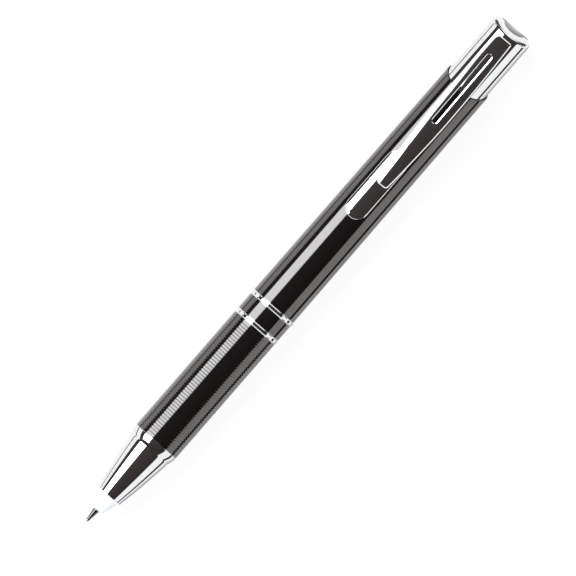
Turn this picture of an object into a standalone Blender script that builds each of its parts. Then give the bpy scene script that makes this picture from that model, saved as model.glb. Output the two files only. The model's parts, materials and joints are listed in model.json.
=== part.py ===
"""Light-up click pen: a metal ballpoint whose clear tip is lit by two small lamps round the point.

Every piece is modelled along a local pen axis: Z runs from the writing point to the push button,
X points at the pocket clip. One empty lays that axis down along the world's X, clip upwards.
"""
import math

import bmesh
import bpy
from mathutils import Matrix, Vector

MM = 0.001

# Outside lengths, from the writing point to the push button
POINT_REACH = 3.25 * MM
LENS_LENGTH = 3.87 * MM
NOSE_CONE_LENGTH = 13.13 * MM
NOSE_FLARE_LENGTH = 2.02 * MM
GRIP_LENGTH = 31.5 * MM
RING_WIDTH = 1.05 * MM
BAND_LENGTH = 3.92 * MM
UPPER_BARREL_LENGTH = 61.9 * MM
BUTTON_REACH = 15.33 * MM

# Outside radii
LENS_FRONT_RADIUS = 1.45 * MM
LENS_REAR_RADIUS = 2.72 * MM
NOSE_FRONT_RADIUS = 2.98 * MM
NOSE_REAR_DROP = 0.5 * MM
NOSE_COLLAR_DROP = 0.03 * MM
NOSE_BULGE = 0.14 * MM
BARREL_RADIUS = 5.5 * MM
BARREL_TAPER = 0.26 * MM
BARREL_WALL = 0.47 * MM
MOUTH_WALL = 0.26 * MM
RING_PROUD = 0.06 * MM

# Slanted ends
BARREL_SLANT = math.radians(25.0)
CAP_SLANT = math.radians(22.0)
CAP_SLANT_BLEND = 1.5 * MM
CAP_RIM_ROUND = 1.25 * MM
DISH_MARGIN = 0.75 * MM
DISH_DEPTH = 0.5 * MM

# Clearances
SEAT_GAP = 0.05 * MM
FIT_GAP = 0.07 * MM
SLIDE_GAP = 0.13 * MM

# Travel of the push button, forward past the catch and back to the hidden point
PRESS_TRAVEL = 1.3 * MM
RETRACT_TRAVEL = 5.5 * MM

# Grip ribs
RIB_PITCH = 0.66 * MM
RIB_DEPTH = 0.1 * MM
RIB_MARGIN = 0.7 * MM

# Refill
REFILL_LENGTH = 67.0 * MM
REFILL_RADIUS = 1.17 * MM
REFILL_WALL = 0.27 * MM
BALL_RADIUS = 0.35 * MM
BALL_SHOW = 0.22 * MM
POINT_LIP_RADIUS = 0.4 * MM
POINT_LENGTH = 11.5 * MM
POINT_SHANK_LENGTH = 3.5 * MM

# Nose insides
LENS_NECK_RADIUS = 2.32 * MM
LENS_NECK_LENGTH = 3.0 * MM
LENS_BORE_FRONT = 0.85 * MM
LENS_BORE_REAR = 1.35 * MM
LENS_EDGE = 0.25 * MM
LAMP_LENGTH = 1.0 * MM
LAMP_WIDTH = 0.55 * MM
LAMP_HEIGHT = 0.4 * MM
LAMP_CIRCLE = 1.9 * MM
BOARD_RADIUS = 2.75 * MM
BOARD_HOLE = 1.55 * MM
BOARD_THICKNESS = 0.8 * MM
WASHER_RADIUS = 2.55 * MM
WASHER_THICKNESS = 0.3 * MM
NOSE_THROAT_LENGTH = 5.5 * MM
NOSE_STUB_LENGTH = 5.8 * MM
NOSE_STUB_WALL = 1.1 * MM

# Return spring and the collar it pushes
SPRING_LENGTH = 13.0 * MM
SPRING_RADIUS = 1.8 * MM
SPRING_WIRE = 0.17 * MM
SPRING_TURNS = 10
COLLAR_RADIUS = 2.4 * MM
COLLAR_LENGTH = 3.0 * MM

# Screwed joint between the two barrels
COUPLER_GRIP = 7.8 * MM
COUPLER_WALL = 0.8 * MM

# Battery pack on the end of the refill
SOCKET_GRIP = 7.0 * MM
SOCKET_RADIUS = 3.0 * MM
SOCKET_FLANGE = 0.8 * MM
SOCKET_PLUG = 2.0 * MM
CAN_OVERHANG = 2.2 * MM
SWITCH_GAP = 2.2 * MM
SWITCH_WIRE = 0.12 * MM
SWITCH_TURNS = 1.5
CELL_THICKNESS = 3.6 * MM
CELL_EDGE = 0.3 * MM
CELL_COUNT = 3
CAN_PLAY = 0.43 * MM
CAN_WALL = 0.32 * MM
CAN_FLOOR = 0.7 * MM
PIN_RADIUS = 0.8 * MM
PIN_HEAD_RADIUS = 2.5 * MM
PIN_HEAD_THICKNESS = 0.45 * MM
BATTERY_SPRING_LENGTH = 2.3 * MM
BATTERY_SPRING_WIRE = 0.16 * MM
BATTERY_SPRING_TURNS = 2.5
BATTERY_SPRING_INSET = 0.65 * MM
BATTERY_SPRING_TIP = 1.2 * MM

# Click mechanism
CLICK_RIBS = 4
CLICK_TEETH = 8
RIB_SWEEP = math.radians(32.0)
GROOVE_SWEEP = math.radians(41.0)
RATCHET_RISE = 0.8 * MM
RATCHET_OVERLAP = math.radians(4.0)
ROTOR_STEM_STEP = 0.7 * MM
ROTOR_STEM_LENGTH = 6.0 * MM
ROTOR_BODY_LENGTH = 4.4 * MM
ROTOR_PILOT_LENGTH = 3.6 * MM
CLICK_RIB_HEIGHT = 0.72 * MM
CLICK_SINK = 0.3 * MM
PUSHER_WALL = 0.97 * MM
PUSHER_RIB_LENGTH = 2.5 * MM
PUSHER_BORE_LENGTH = 6.0 * MM
SLEEVE_WALL = 0.95 * MM
SLEEVE_LIP = 0.8 * MM
STOP_GAP = 0.2 * MM
CORE_OVERLAP = 15.0 * MM

# Push button
CAP_WALL = 0.75 * MM
CAP_TOP_THICKNESS = 4.19 * MM

# Pocket clip
CLIP_LENGTH = 40.1 * MM
CLIP_LEAN = math.radians(0.95)
CLIP_ROOT_INSET = 3.43 * MM
CLIP_FOOT_LENGTH = 5.0 * MM
CLIP_RISE_LENGTH = 17.0 * MM
CLIP_FLAT_LENGTH = 8.0 * MM
CLIP_UPTURN_LENGTH = 1.6 * MM
CLIP_UPTURN = 0.3 * MM
CLIP_GAP = 2.35 * MM
CLIP_TIP_GAP = 0.25 * MM
CLIP_ROOT_WIDTH = 4.1 * MM
CLIP_WIDTH = 4.9 * MM
CLIP_WIDEST = 19.6 * MM
CLIP_TIP_WIDTH = 2.7 * MM
CLIP_EDGE = 0.5 * MM
CLIP_CROWN = 0.4 * MM
CLIP_CORNER = 0.14 * MM
CLIP_SLOT_LENGTH = 18.9 * MM
CLIP_SLOT_WIDTH = 1.5 * MM
CLIP_SLOT_INSET = 4.3 * MM
LUG_LENGTH = 2.3 * MM
LUG_WIDTH = 2.0 * MM
LUG_INSET = 1.2 * MM
LUG_DEPTH = 1.0 * MM

# Guide plate that the clip's tip slides along
PLATE_LENGTH = 17.6 * MM
PLATE_WIDTH = 5.3 * MM
PLATE_THICKNESS = 0.5 * MM
PLATE_AHEAD = 9.2 * MM
PEG_RADIUS = 0.8 * MM
PEG_SPACING = 10.0 * MM

# Facet counts
FINE = 32
SMALL = 24
COIL_POINTS = 10
SECTOR_STEPS = 4
TOOTH_STEPS = 4

# Stations along the pen
LENS_FRONT = POINT_REACH
NOSE_FRONT = LENS_FRONT + LENS_LENGTH
FLARE_START = NOSE_FRONT + NOSE_CONE_LENGTH
GRIP_FRONT = FLARE_START + NOSE_FLARE_LENGTH
LOWER_RING_FRONT = GRIP_FRONT + GRIP_LENGTH
BAND_FRONT = LOWER_RING_FRONT + RING_WIDTH
UPPER_RING_FRONT = BAND_FRONT + BAND_LENGTH
BARREL_FRONT = UPPER_RING_FRONT + RING_WIDTH
BARREL_TOP = BARREL_FRONT + UPPER_BARREL_LENGTH
BUTTON_TOP = BARREL_TOP + BUTTON_REACH
BARREL_TOP_RADIUS = BARREL_RADIUS - BARREL_TAPER
BARREL_BORE = BARREL_TOP_RADIUS - BARREL_WALL
MOUTH_BORE = BARREL_TOP_RADIUS - MOUTH_WALL
CAP_RADIUS = MOUTH_BORE - SLIDE_GAP
CAP_RIM_CENTRE = CAP_RADIUS - CAP_RIM_ROUND
CAP_REAR_DROP = math.tan(CAP_SLANT) * (math.hypot(CAP_RIM_CENTRE, CAP_SLANT_BLEND) - CAP_RIM_CENTRE) / 2
PEN_LENGTH = BUTTON_TOP - CAP_REAR_DROP
AXIS_HEIGHT = BARREL_RADIUS + RING_PROUD

# Shared bores and seats
NOSE_REAR_RADIUS = BARREL_RADIUS - NOSE_REAR_DROP
NOSE_COLLAR_RADIUS = BARREL_RADIUS - NOSE_COLLAR_DROP
COUPLER_RADIUS = BARREL_BORE - FIT_GAP
COUPLER_BORE = COUPLER_RADIUS - COUPLER_WALL
LENS_NECK_END = NOSE_FRONT + LENS_NECK_LENGTH
BOARD_FRONT = LENS_NECK_END + 2 * SEAT_GAP + LAMP_HEIGHT
BOARD_REAR = BOARD_FRONT + BOARD_THICKNESS
WASHER_FRONT = BOARD_REAR + SEAT_GAP
SPRING_FRONT = WASHER_FRONT + WASHER_THICKNESS + SEAT_GAP
COLLAR_FRONT = SPRING_FRONT + SPRING_LENGTH + SEAT_GAP
NOSE_THROAT = BOARD_RADIUS + FIT_GAP
CAN_FRONT = REFILL_LENGTH + CAN_OVERHANG
COUPLER_END = CAN_FRONT - SWITCH_GAP
CAN_RADIUS = BARREL_BORE - CAN_PLAY
CAN_BORE = CAN_RADIUS - CAN_WALL
CELL_RADIUS = CAN_BORE - FIT_GAP
SOCKET_FRONT = REFILL_LENGTH - SOCKET_GRIP
CAN_WALL_FRONT = CAN_FRONT + SOCKET_FLANGE + SEAT_GAP
PLUG_REAR = CAN_WALL_FRONT + SOCKET_PLUG
PIN_HEAD_FRONT = PLUG_REAR + SEAT_GAP
CELLS_FRONT = PIN_HEAD_FRONT + PIN_HEAD_THICKNESS + SEAT_GAP
CELL_STEP = CELL_THICKNESS + SEAT_GAP
BATTERY_SPRING_FRONT = CELLS_FRONT + CELL_COUNT * CELL_STEP
CAN_FLOOR_FRONT = BATTERY_SPRING_FRONT + BATTERY_SPRING_LENGTH + SEAT_GAP
CAN_REAR = CAN_FLOOR_FRONT + CAN_FLOOR

# Click mechanism, point out
SLEEVE_RADIUS = BARREL_BORE - FIT_GAP
SLEEVE_LEAD_BORE = SLEEVE_RADIUS - SLEEVE_WALL
GROOVE_RADIUS = SLEEVE_LEAD_BORE - FIT_GAP / 2
RATCHET_RADIUS = GROOVE_RADIUS - SEAT_GAP
CLICK_RIB_RADIUS = SLEEVE_LEAD_BORE - SLIDE_GAP
ROTOR_BODY_RADIUS = CLICK_RIB_RADIUS - CLICK_RIB_HEIGHT
ROTOR_STEM_RADIUS = ROTOR_BODY_RADIUS - ROTOR_STEM_STEP
PUSHER_BORE = ROTOR_BODY_RADIUS - PUSHER_WALL
ROTOR_PILOT_RADIUS = PUSHER_BORE - SLIDE_GAP
SLEEVE_CREST = ROTOR_BODY_RADIUS + SLIDE_GAP
ROTOR_FRONT = CAN_REAR + SEAT_GAP
ROTOR_BODY_FRONT = ROTOR_FRONT + ROTOR_STEM_LENGTH
ROTOR_BODY_REAR = ROTOR_BODY_FRONT + ROTOR_BODY_LENGTH
RATCHET_TOP = ROTOR_BODY_REAR + RATCHET_RISE
PUSHER_FRONT = RATCHET_TOP + SEAT_GAP
PUSHER_RIB_FRONT = PUSHER_FRONT + 1.5 * RATCHET_RISE
PUSHER_RIB_REAR = PUSHER_RIB_FRONT + PUSHER_RIB_LENGTH
SPLINE_FRONT = RATCHET_TOP + SEAT_GAP
SPLINE_REAR = PUSHER_RIB_REAR + RETRACT_TRAVEL + SEAT_GAP
SLEEVE_FRONT = CAN_REAR + RETRACT_TRAVEL + STOP_GAP
SLEEVE_REAR = SPLINE_REAR + SLEEVE_LIP
CAP_FRONT = SLEEVE_REAR + PRESS_TRAVEL + STOP_GAP
MOUTH_FRONT = SLEEVE_REAR + STOP_GAP / 2
CAP_BORE = CAP_RADIUS - CAP_WALL
CAP_BORE_END = BUTTON_TOP - CAP_TOP_THICKNESS
CORE_RADIUS = CAP_BORE - FIT_GAP
CORE_REAR = CAP_BORE_END - SEAT_GAP
CORE_FRONT = CAP_FRONT + SEAT_GAP
PUSHER_REAR = CORE_FRONT + CORE_OVERLAP

# Clip and guide plate stations
CLIP_ROOT = BUTTON_TOP - CLIP_ROOT_INSET
CLIP_TIP = CLIP_ROOT - CLIP_LENGTH
PLATE_FRONT = CLIP_TIP - PLATE_AHEAD
PLATE_REAR = PLATE_FRONT + PLATE_LENGTH
LUG_REAR = CLIP_ROOT - LUG_INSET
LUG_FRONT = LUG_REAR - LUG_LENGTH
LUG_MIDDLE = (LUG_FRONT + LUG_REAR) / 2


def barrel_radius(station):
    """Outer radius of the upper barrel, which tapers towards the push button."""
    share = (station - BARREL_FRONT) / UPPER_BARREL_LENGTH
    return BARREL_RADIUS + (BARREL_TOP_RADIUS - BARREL_RADIUS) * share


def point_radius(station):
    """Outer radius of the refill's conical point."""
    share = (station - BALL_SHOW) / (POINT_LENGTH - BALL_SHOW)
    return POINT_LIP_RADIUS + (REFILL_RADIUS - POINT_LIP_RADIUS) * share


def smooth_step(share):
    """Ease from 0 to 1 with level ends."""
    share = min(max(share, 0.0), 1.0)
    return share * share * (3 - 2 * share)


# Scene helpers

def clear_scene():
    for old in list(bpy.data.objects):
        bpy.data.objects.remove(old)


def make_collection(name):
    collection = bpy.data.collections.new(name)
    bpy.context.scene.collection.children.link(collection)
    return collection


def make_finish(name, colour, metallic, roughness):
    finish = bpy.data.materials.new(name)
    finish.use_nodes = True
    shader = finish.node_tree.nodes["Principled BSDF"]
    shader.inputs["Base Color"].default_value = (*colour, 1.0)
    shader.inputs["Metallic"].default_value = metallic
    shader.inputs["Roughness"].default_value = roughness
    return finish


def make_frame(name, parent=None):
    """An empty on the pen's axis that carries the pieces of one body."""
    frame = bpy.data.objects.new(name, None)
    PARTS.objects.link(frame)
    frame.parent = parent
    return frame


def place(name, data, frame, finish=None):
    """Link a piece to its body's empty, or a cutter when it has no finish."""
    piece = bpy.data.objects.new(name, data)
    piece.parent = frame
    if finish is None:
        CUTTERS.objects.link(piece)
        piece.hide_render = True
        piece.display_type = "WIRE"
    else:
        PARTS.objects.link(piece)
        data.materials.append(finish)
    return piece


def turned(name, points, frame, finish=None, steps=FINE):
    """Turn a profile of (radius, station) points, from the rear down the outer side, round the axis."""
    mesh = bpy.data.meshes.new(name)
    count = len(points)
    open_profile = points[0][0] == 0
    edges = [(i, (i + 1) % count) for i in range(count - 1 if open_profile else count)]
    mesh.from_pydata([(radius, 0, station) for radius, station in points], edges, [])
    piece = place(name, mesh, frame, finish)
    screw = piece.modifiers.new("Turn", "SCREW")
    screw.axis = "Z"
    screw.steps = steps
    screw.render_steps = steps
    screw.use_merge_vertices = True
    screw.merge_threshold = 1e-6
    screw.use_smooth_shade = True
    return piece


def tube(name, front, rear, bore, radius, frame, finish=None, steps=FINE):
    return turned(name, [(radius, rear), (radius, front), (bore, front), (bore, rear)], frame, finish, steps)


def rod(name, front, rear, radius, frame, finish=None, steps=FINE):
    return turned(name, [(0, rear), (radius, rear), (radius, front), (0, front)], frame, finish, steps)


def block(name, centre, size, frame, finish=None, turn=None):
    """A box of the given size, turned about its centre if asked."""
    mesh = bpy.data.meshes.new(name)
    solid = bmesh.new()
    bmesh.ops.create_cube(solid, size=1.0)
    bmesh.ops.scale(solid, vec=size, verts=solid.verts)
    if turn is not None:
        bmesh.ops.rotate(solid, cent=(0, 0, 0), matrix=turn, verts=solid.verts)
    bmesh.ops.translate(solid, vec=centre, verts=solid.verts)
    solid.to_mesh(mesh)
    solid.free()
    return place(name, mesh, frame, finish)


def sector(name, bore, radius, middle, sweep, front, rear, frame, ramp=0.0):
    """A slice of a ring whose rear face climbs by the ramp along its sweep."""
    solid = bmesh.new()
    rows = []
    for step in range(SECTOR_STEPS + 1):
        share = step / SECTOR_STEPS
        angle = middle + sweep * (share - 0.5)
        end = rear + ramp * share
        corners = [(bore, front), (radius, front), (radius, end), (bore, end)]
        rows.append([solid.verts.new((r * math.cos(angle), r * math.sin(angle), z)) for r, z in corners])
    for row, following in zip(rows, rows[1:]):
        for side in range(4):
            after = (side + 1) % 4
            solid.faces.new((row[side], row[after], following[after], following[side]))
    solid.faces.new(rows[0])
    solid.faces.new(rows[-1])
    bmesh.ops.recalc_face_normals(solid, faces=solid.faces)
    mesh = bpy.data.meshes.new(name)
    solid.to_mesh(mesh)
    solid.free()
    return place(name, mesh, frame)


def racetrack(name, front, rear, width, low, high, frame):
    """An upright block with round ends, as a cutter along the pen."""
    outline = bpy.data.curves.new(name, "CURVE")
    outline.dimensions = "2D"
    outline.fill_mode = "BOTH"
    outline.extrude = (high - low) / 2
    round_radius = width / 2
    half_steps = SMALL // 2
    spline = outline.splines.new("POLY")
    points = []
    for centre, start in ((rear - round_radius, -math.pi / 2), (front + round_radius, math.pi / 2)):
        for step in range(half_steps + 1):
            angle = start + math.pi * step / half_steps
            points.append((centre + round_radius * math.cos(angle), round_radius * math.sin(angle)))
    spline.points.add(len(points) - 1)
    for slot, (along, across) in zip(spline.points, points):
        slot.co = (along, across, 0, 1)
    spline.use_cyclic_u = True
    draft = place(name, outline, frame)
    # The curve lies in its own XY: its X turns along the pen and its Z towards the clip
    upright = Matrix(((0, 0, 1), (0, -1, 0), (1, 0, 0))).to_4x4()
    draft.matrix_local = Matrix.Translation(((low + high) / 2, 0, 0)) @ upright
    return curve_to_mesh(draft)


def lofted(name, rows, frame, finish):
    """Skin closed rows of points, the last of which may be a single point, and close the open ends."""
    solid = bmesh.new()
    rings = [[solid.verts.new(point) for point in row] for row in rows]
    count = len(rings[0])
    for row, following in zip(rings, rings[1:]):
        for side in range(count):
            after = (side + 1) % count
            ahead = (following[after % len(following)], following[side % len(following)])
            solid.faces.new(tuple(dict.fromkeys((row[side], row[after], *ahead))))
    for end in (rings[0], rings[-1]):
        if len(end) == count:
            solid.faces.new(end)
    bmesh.ops.recalc_face_normals(solid, faces=solid.faces)
    mesh = bpy.data.meshes.new(name)
    solid.to_mesh(mesh)
    solid.free()
    return place(name, mesh, frame, finish)


def curve_to_mesh(curve):
    """Swap a curve for the welded mesh it draws, so that it can cut and be cut."""
    bpy.context.view_layer.update()
    mesh = bpy.data.meshes.new_from_object(curve.evaluated_get(bpy.context.evaluated_depsgraph_get()))
    solid = bmesh.new()
    solid.from_mesh(mesh)
    bmesh.ops.remove_doubles(solid, verts=solid.verts, dist=1e-7)
    bmesh.ops.recalc_face_normals(solid, faces=solid.faces)
    solid.to_mesh(mesh)
    solid.free()
    name, frame, matrix = curve.name, curve.parent, curve.matrix_local.copy()
    bpy.data.objects.remove(curve)
    piece = place(name, mesh, frame)
    piece.matrix_local = matrix
    return piece


def bake(piece):
    """Keep a piece's evaluated mesh in place of its modifiers."""
    bpy.context.view_layer.update()
    mesh = bpy.data.meshes.new_from_object(piece.evaluated_get(bpy.context.evaluated_depsgraph_get()))
    piece.modifiers.clear()
    piece.data = mesh


def combine(piece, other, operation):
    boolean = piece.modifiers.new(operation.title(), "BOOLEAN")
    boolean.operation = operation
    boolean.solver = "EXACT"
    boolean.object = other


def cut(piece, cutter):
    combine(piece, cutter, "DIFFERENCE")


def join(piece, other):
    combine(piece, other, "UNION")


def coil(name, front, rear, front_radius, rear_radius, wire, turns, frame, finish):
    """A spring: one round wire on a helix, whose least gap to itself is measured and printed."""
    count = round(turns * COIL_POINTS) + 1
    points = []
    for step in range(count):
        share = step / (count - 1)
        angle = 2 * math.pi * turns * share
        radius = front_radius + (rear_radius - front_radius) * share
        station = front + wire + (rear - front - 2 * wire) * share
        points.append(Vector((radius * math.cos(angle), radius * math.sin(angle), station)))
    half_turn = COIL_POINTS // 2
    gap = min(
        (a - b).length - 2 * wire
        for i, a in enumerate(points)
        for b in points[i + half_turn + 1:]
    )
    print(f"{name}: least gap to itself {gap / MM:.2f} mm")
    curve = bpy.data.curves.new(name, "CURVE")
    curve.dimensions = "3D"
    curve.bevel_depth = wire
    curve.bevel_resolution = 1
    curve.use_fill_caps = True
    spline = curve.splines.new("POLY")
    spline.points.add(count - 1)
    for slot, point in zip(spline.points, points):
        slot.co = (*point, 1)
    return place(name, curve, frame, finish)


# Writing end

def build_refill():
    socket_depth = BALL_RADIUS + SEAT_GAP
    ball = bpy.data.meshes.new("writing_ball")
    solid = bmesh.new()
    bmesh.ops.create_uvsphere(solid, u_segments=SMALL // 2, v_segments=SMALL // 3, radius=BALL_RADIUS)
    bmesh.ops.translate(solid, vec=(0, 0, BALL_RADIUS), verts=solid.verts)
    solid.to_mesh(ball)
    solid.free()
    ball.shade_smooth()
    place("writing_ball", ball, REFILL, STEEL)

    shank_radius = REFILL_RADIUS - REFILL_WALL - SEAT_GAP
    lip_wall = 0.4 * (POINT_LIP_RADIUS - BALL_RADIUS)
    lip_radius = BALL_RADIUS + lip_wall
    shank_end = POINT_LENGTH + POINT_SHANK_LENGTH
    turned("refill_point", [
        (0, shank_end),
        (shank_radius, shank_end),
        (shank_radius, POINT_LENGTH),
        (REFILL_RADIUS, POINT_LENGTH),
        (point_radius(BALL_RADIUS * 3), BALL_RADIUS * 3),
        (POINT_LIP_RADIUS, BALL_RADIUS * 2),
        (lip_radius + lip_wall, BALL_RADIUS + BALL_SHOW / 2),
        (lip_radius, BALL_RADIUS + BALL_SHOW / 2),
        (socket_depth, 2 * BALL_RADIUS + SEAT_GAP),
        (0, 2 * BALL_RADIUS + SEAT_GAP),
    ], REFILL, NICKEL, SMALL)
    tube("refill_tube", POINT_LENGTH + SEAT_GAP, REFILL_LENGTH, REFILL_RADIUS - REFILL_WALL, REFILL_RADIUS,
         REFILL, BRASS, SMALL)
    tube("spring_collar", COLLAR_FRONT, COLLAR_FRONT + COLLAR_LENGTH, REFILL_RADIUS + SEAT_GAP, COLLAR_RADIUS,
         REFILL, BRASS, SMALL)


def build_lens():
    rear = NOSE_FRONT - SEAT_GAP
    turned("lens_tip", [
        (LENS_NECK_RADIUS, LENS_NECK_END),
        (LENS_NECK_RADIUS, rear),
        (LENS_REAR_RADIUS, rear),
        (LENS_FRONT_RADIUS + LENS_EDGE / 2, LENS_FRONT + LENS_EDGE),
        (LENS_FRONT_RADIUS - LENS_EDGE / 2, LENS_FRONT),
        (LENS_BORE_FRONT, LENS_FRONT),
        (LENS_BORE_REAR, NOSE_FRONT),
        (LENS_BORE_REAR, LENS_NECK_END),
    ], BARREL, CLEAR)


def build_lamps():
    middle = LENS_NECK_END + SEAT_GAP + LAMP_HEIGHT / 2
    for number, side in ((1, 1), (2, -1)):
        block(f"lamp_{number}", (0, side * LAMP_CIRCLE, middle), (LAMP_LENGTH, LAMP_WIDTH, LAMP_HEIGHT),
              BARREL, LAMP)
    tube("lamp_board", BOARD_FRONT, BOARD_REAR, BOARD_HOLE, BOARD_RADIUS, BARREL, BOARD, SMALL)
    tube("contact_washer", WASHER_FRONT, WASHER_FRONT + WASHER_THICKNESS, BOARD_HOLE, WASHER_RADIUS,
         BARREL, BRASS, SMALL)
    coil("return_spring", SPRING_FRONT, SPRING_FRONT + SPRING_LENGTH, SPRING_RADIUS, SPRING_RADIUS,
         SPRING_WIRE, SPRING_TURNS, BARREL, STEEL)


def build_nose():
    neck_bore = LENS_NECK_RADIUS + FIT_GAP
    stub_radius = BARREL_BORE - FIT_GAP
    stub_bore = stub_radius - NOSE_STUB_WALL
    stub_end = GRIP_FRONT + NOSE_STUB_LENGTH
    collar = GRIP_FRONT - SEAT_GAP
    board_seat = BOARD_FRONT - SEAT_GAP
    throat_end = BOARD_FRONT + NOSE_THROAT_LENGTH
    flare = []
    flare_steps = 4
    for step in range(flare_steps):
        share = 1 - step / flare_steps
        radius = NOSE_REAR_RADIUS + (NOSE_COLLAR_RADIUS - NOSE_REAR_RADIUS) * share * (2 - share)
        flare.append((radius, FLARE_START + (collar - FLARE_START) * share))
    cone = []
    steps = 6
    for step in range(steps + 1):
        share = 1 - step / steps
        radius = NOSE_FRONT_RADIUS + (NOSE_REAR_RADIUS - NOSE_FRONT_RADIUS) * share
        bulge = 4 * NOSE_BULGE * share * (1 - share)
        cone.append((radius + bulge, NOSE_FRONT + NOSE_CONE_LENGTH * share))
    turned("nose_cone", [
        (stub_radius, stub_end),
        (stub_radius, collar),
        *flare,
        *cone,
        (neck_bore, NOSE_FRONT),
        (neck_bore, board_seat),
        (NOSE_THROAT, board_seat),
        (NOSE_THROAT, throat_end),
        (stub_bore, throat_end),
        (stub_bore, stub_end),
    ], BARREL, CHROME)


# Barrels

def build_grip():
    rear = LOWER_RING_FRONT - SEAT_GAP
    ribs = int((GRIP_LENGTH - 2 * RIB_MARGIN) / RIB_PITCH)
    first = GRIP_FRONT + (GRIP_LENGTH - ribs * RIB_PITCH) / 2
    outer = [(BARREL_RADIUS, rear)]
    for rib in reversed(range(ribs)):
        outer.append((BARREL_RADIUS, first + (rib + 0.9) * RIB_PITCH))
        outer.append((BARREL_RADIUS - RIB_DEPTH, first + (rib + 0.4) * RIB_PITCH))
    outer += [(BARREL_RADIUS, first - 0.1 * RIB_PITCH), (BARREL_RADIUS, GRIP_FRONT)]
    turned("grip_barrel", [*outer, (BARREL_BORE, GRIP_FRONT), (BARREL_BORE, rear)], BARREL, GUNMETAL, SMALL)


def build_joint():
    bore = COUPLER_RADIUS + FIT_GAP
    ring_radius = BARREL_RADIUS + RING_PROUD
    tube("coupler", LOWER_RING_FRONT - COUPLER_GRIP, COUPLER_END, COUPLER_BORE, COUPLER_RADIUS, BARREL, BRASS)
    tube("lower_ring", LOWER_RING_FRONT, BAND_FRONT - SEAT_GAP, bore, ring_radius, BARREL, CHROME)
    tube("centre_band", BAND_FRONT, UPPER_RING_FRONT - SEAT_GAP, bore, BARREL_RADIUS, BARREL, GUNMETAL)
    tube("upper_ring", UPPER_RING_FRONT, BARREL_FRONT - SEAT_GAP, bore, ring_radius, BARREL, CHROME)


def build_upper_barrel():
    spare = 2 * BARREL_RADIUS * math.tan(BARREL_SLANT)
    top = BARREL_TOP + spare
    barrel = turned("upper_barrel", [
        (barrel_radius(top), top),
        (BARREL_RADIUS, BARREL_FRONT),
        (BARREL_BORE, BARREL_FRONT),
        (BARREL_BORE, MOUTH_FRONT),
        (MOUTH_BORE, MOUTH_FRONT),
        (MOUTH_BORE, top),
    ], BARREL, GUNMETAL)
    side = 6 * BARREL_RADIUS
    slope = Matrix.Rotation(BARREL_SLANT, 3, "Y")
    normal = slope @ Vector((0, 0, 1))
    centre = Vector((0, 0, BARREL_TOP)) + normal * side / 2
    cut(barrel, block("barrel_top_cutter", centre, (side, side, side), BARREL, turn=slope))
    for number, station in enumerate(peg_stations(), 1):
        cut(barrel, peg(f"peg_hole_{number}", station, PEG_RADIUS + FIT_GAP, 0.0, 2 * BARREL_RADIUS))


def peg_stations():
    middle = (PLATE_FRONT + PLATE_REAR) / 2
    return middle - PEG_SPACING / 2, middle + PEG_SPACING / 2


def peg(name, station, radius, low, high):
    """A round peg that stands up towards the clip."""
    mesh = bpy.data.meshes.new(name)
    solid = bmesh.new()
    bmesh.ops.create_cone(solid, cap_ends=True, segments=SMALL // 2, radius1=radius, radius2=radius,
                          depth=high - low)
    bmesh.ops.rotate(solid, cent=(0, 0, 0), matrix=Matrix.Rotation(math.pi / 2, 3, "Y"), verts=solid.verts)
    bmesh.ops.translate(solid, vec=((low + high) / 2, 0, station), verts=solid.verts)
    solid.to_mesh(mesh)
    solid.free()
    return place(name, mesh, BARREL)


def build_guide_plate():
    front, rear = PLATE_FRONT - PLATE_WIDTH, PLATE_REAR + PLATE_WIDTH
    inner = FIT_GAP
    outer = FIT_GAP + PLATE_THICKNESS
    plate = turned("guide_plate", [
        (barrel_radius(rear) + outer, rear),
        (barrel_radius(front) + outer, front),
        (barrel_radius(front) + inner, front),
        (barrel_radius(rear) + inner, rear),
    ], BARREL, CHROME, 2 * FINE)
    outline = racetrack("plate_outline", PLATE_FRONT, PLATE_REAR, PLATE_WIDTH, 0.5 * BARREL_RADIUS,
                        1.5 * BARREL_RADIUS, BARREL)
    combine(plate, outline, "INTERSECT")
    for number, station in enumerate(peg_stations(), 1):
        top = barrel_radius(station) + outer - PLATE_THICKNESS / 2
        join(plate, peg(f"plate_peg_{number}", station, PEG_RADIUS, BARREL_BORE + SEAT_GAP, top))


# Battery pack

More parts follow.
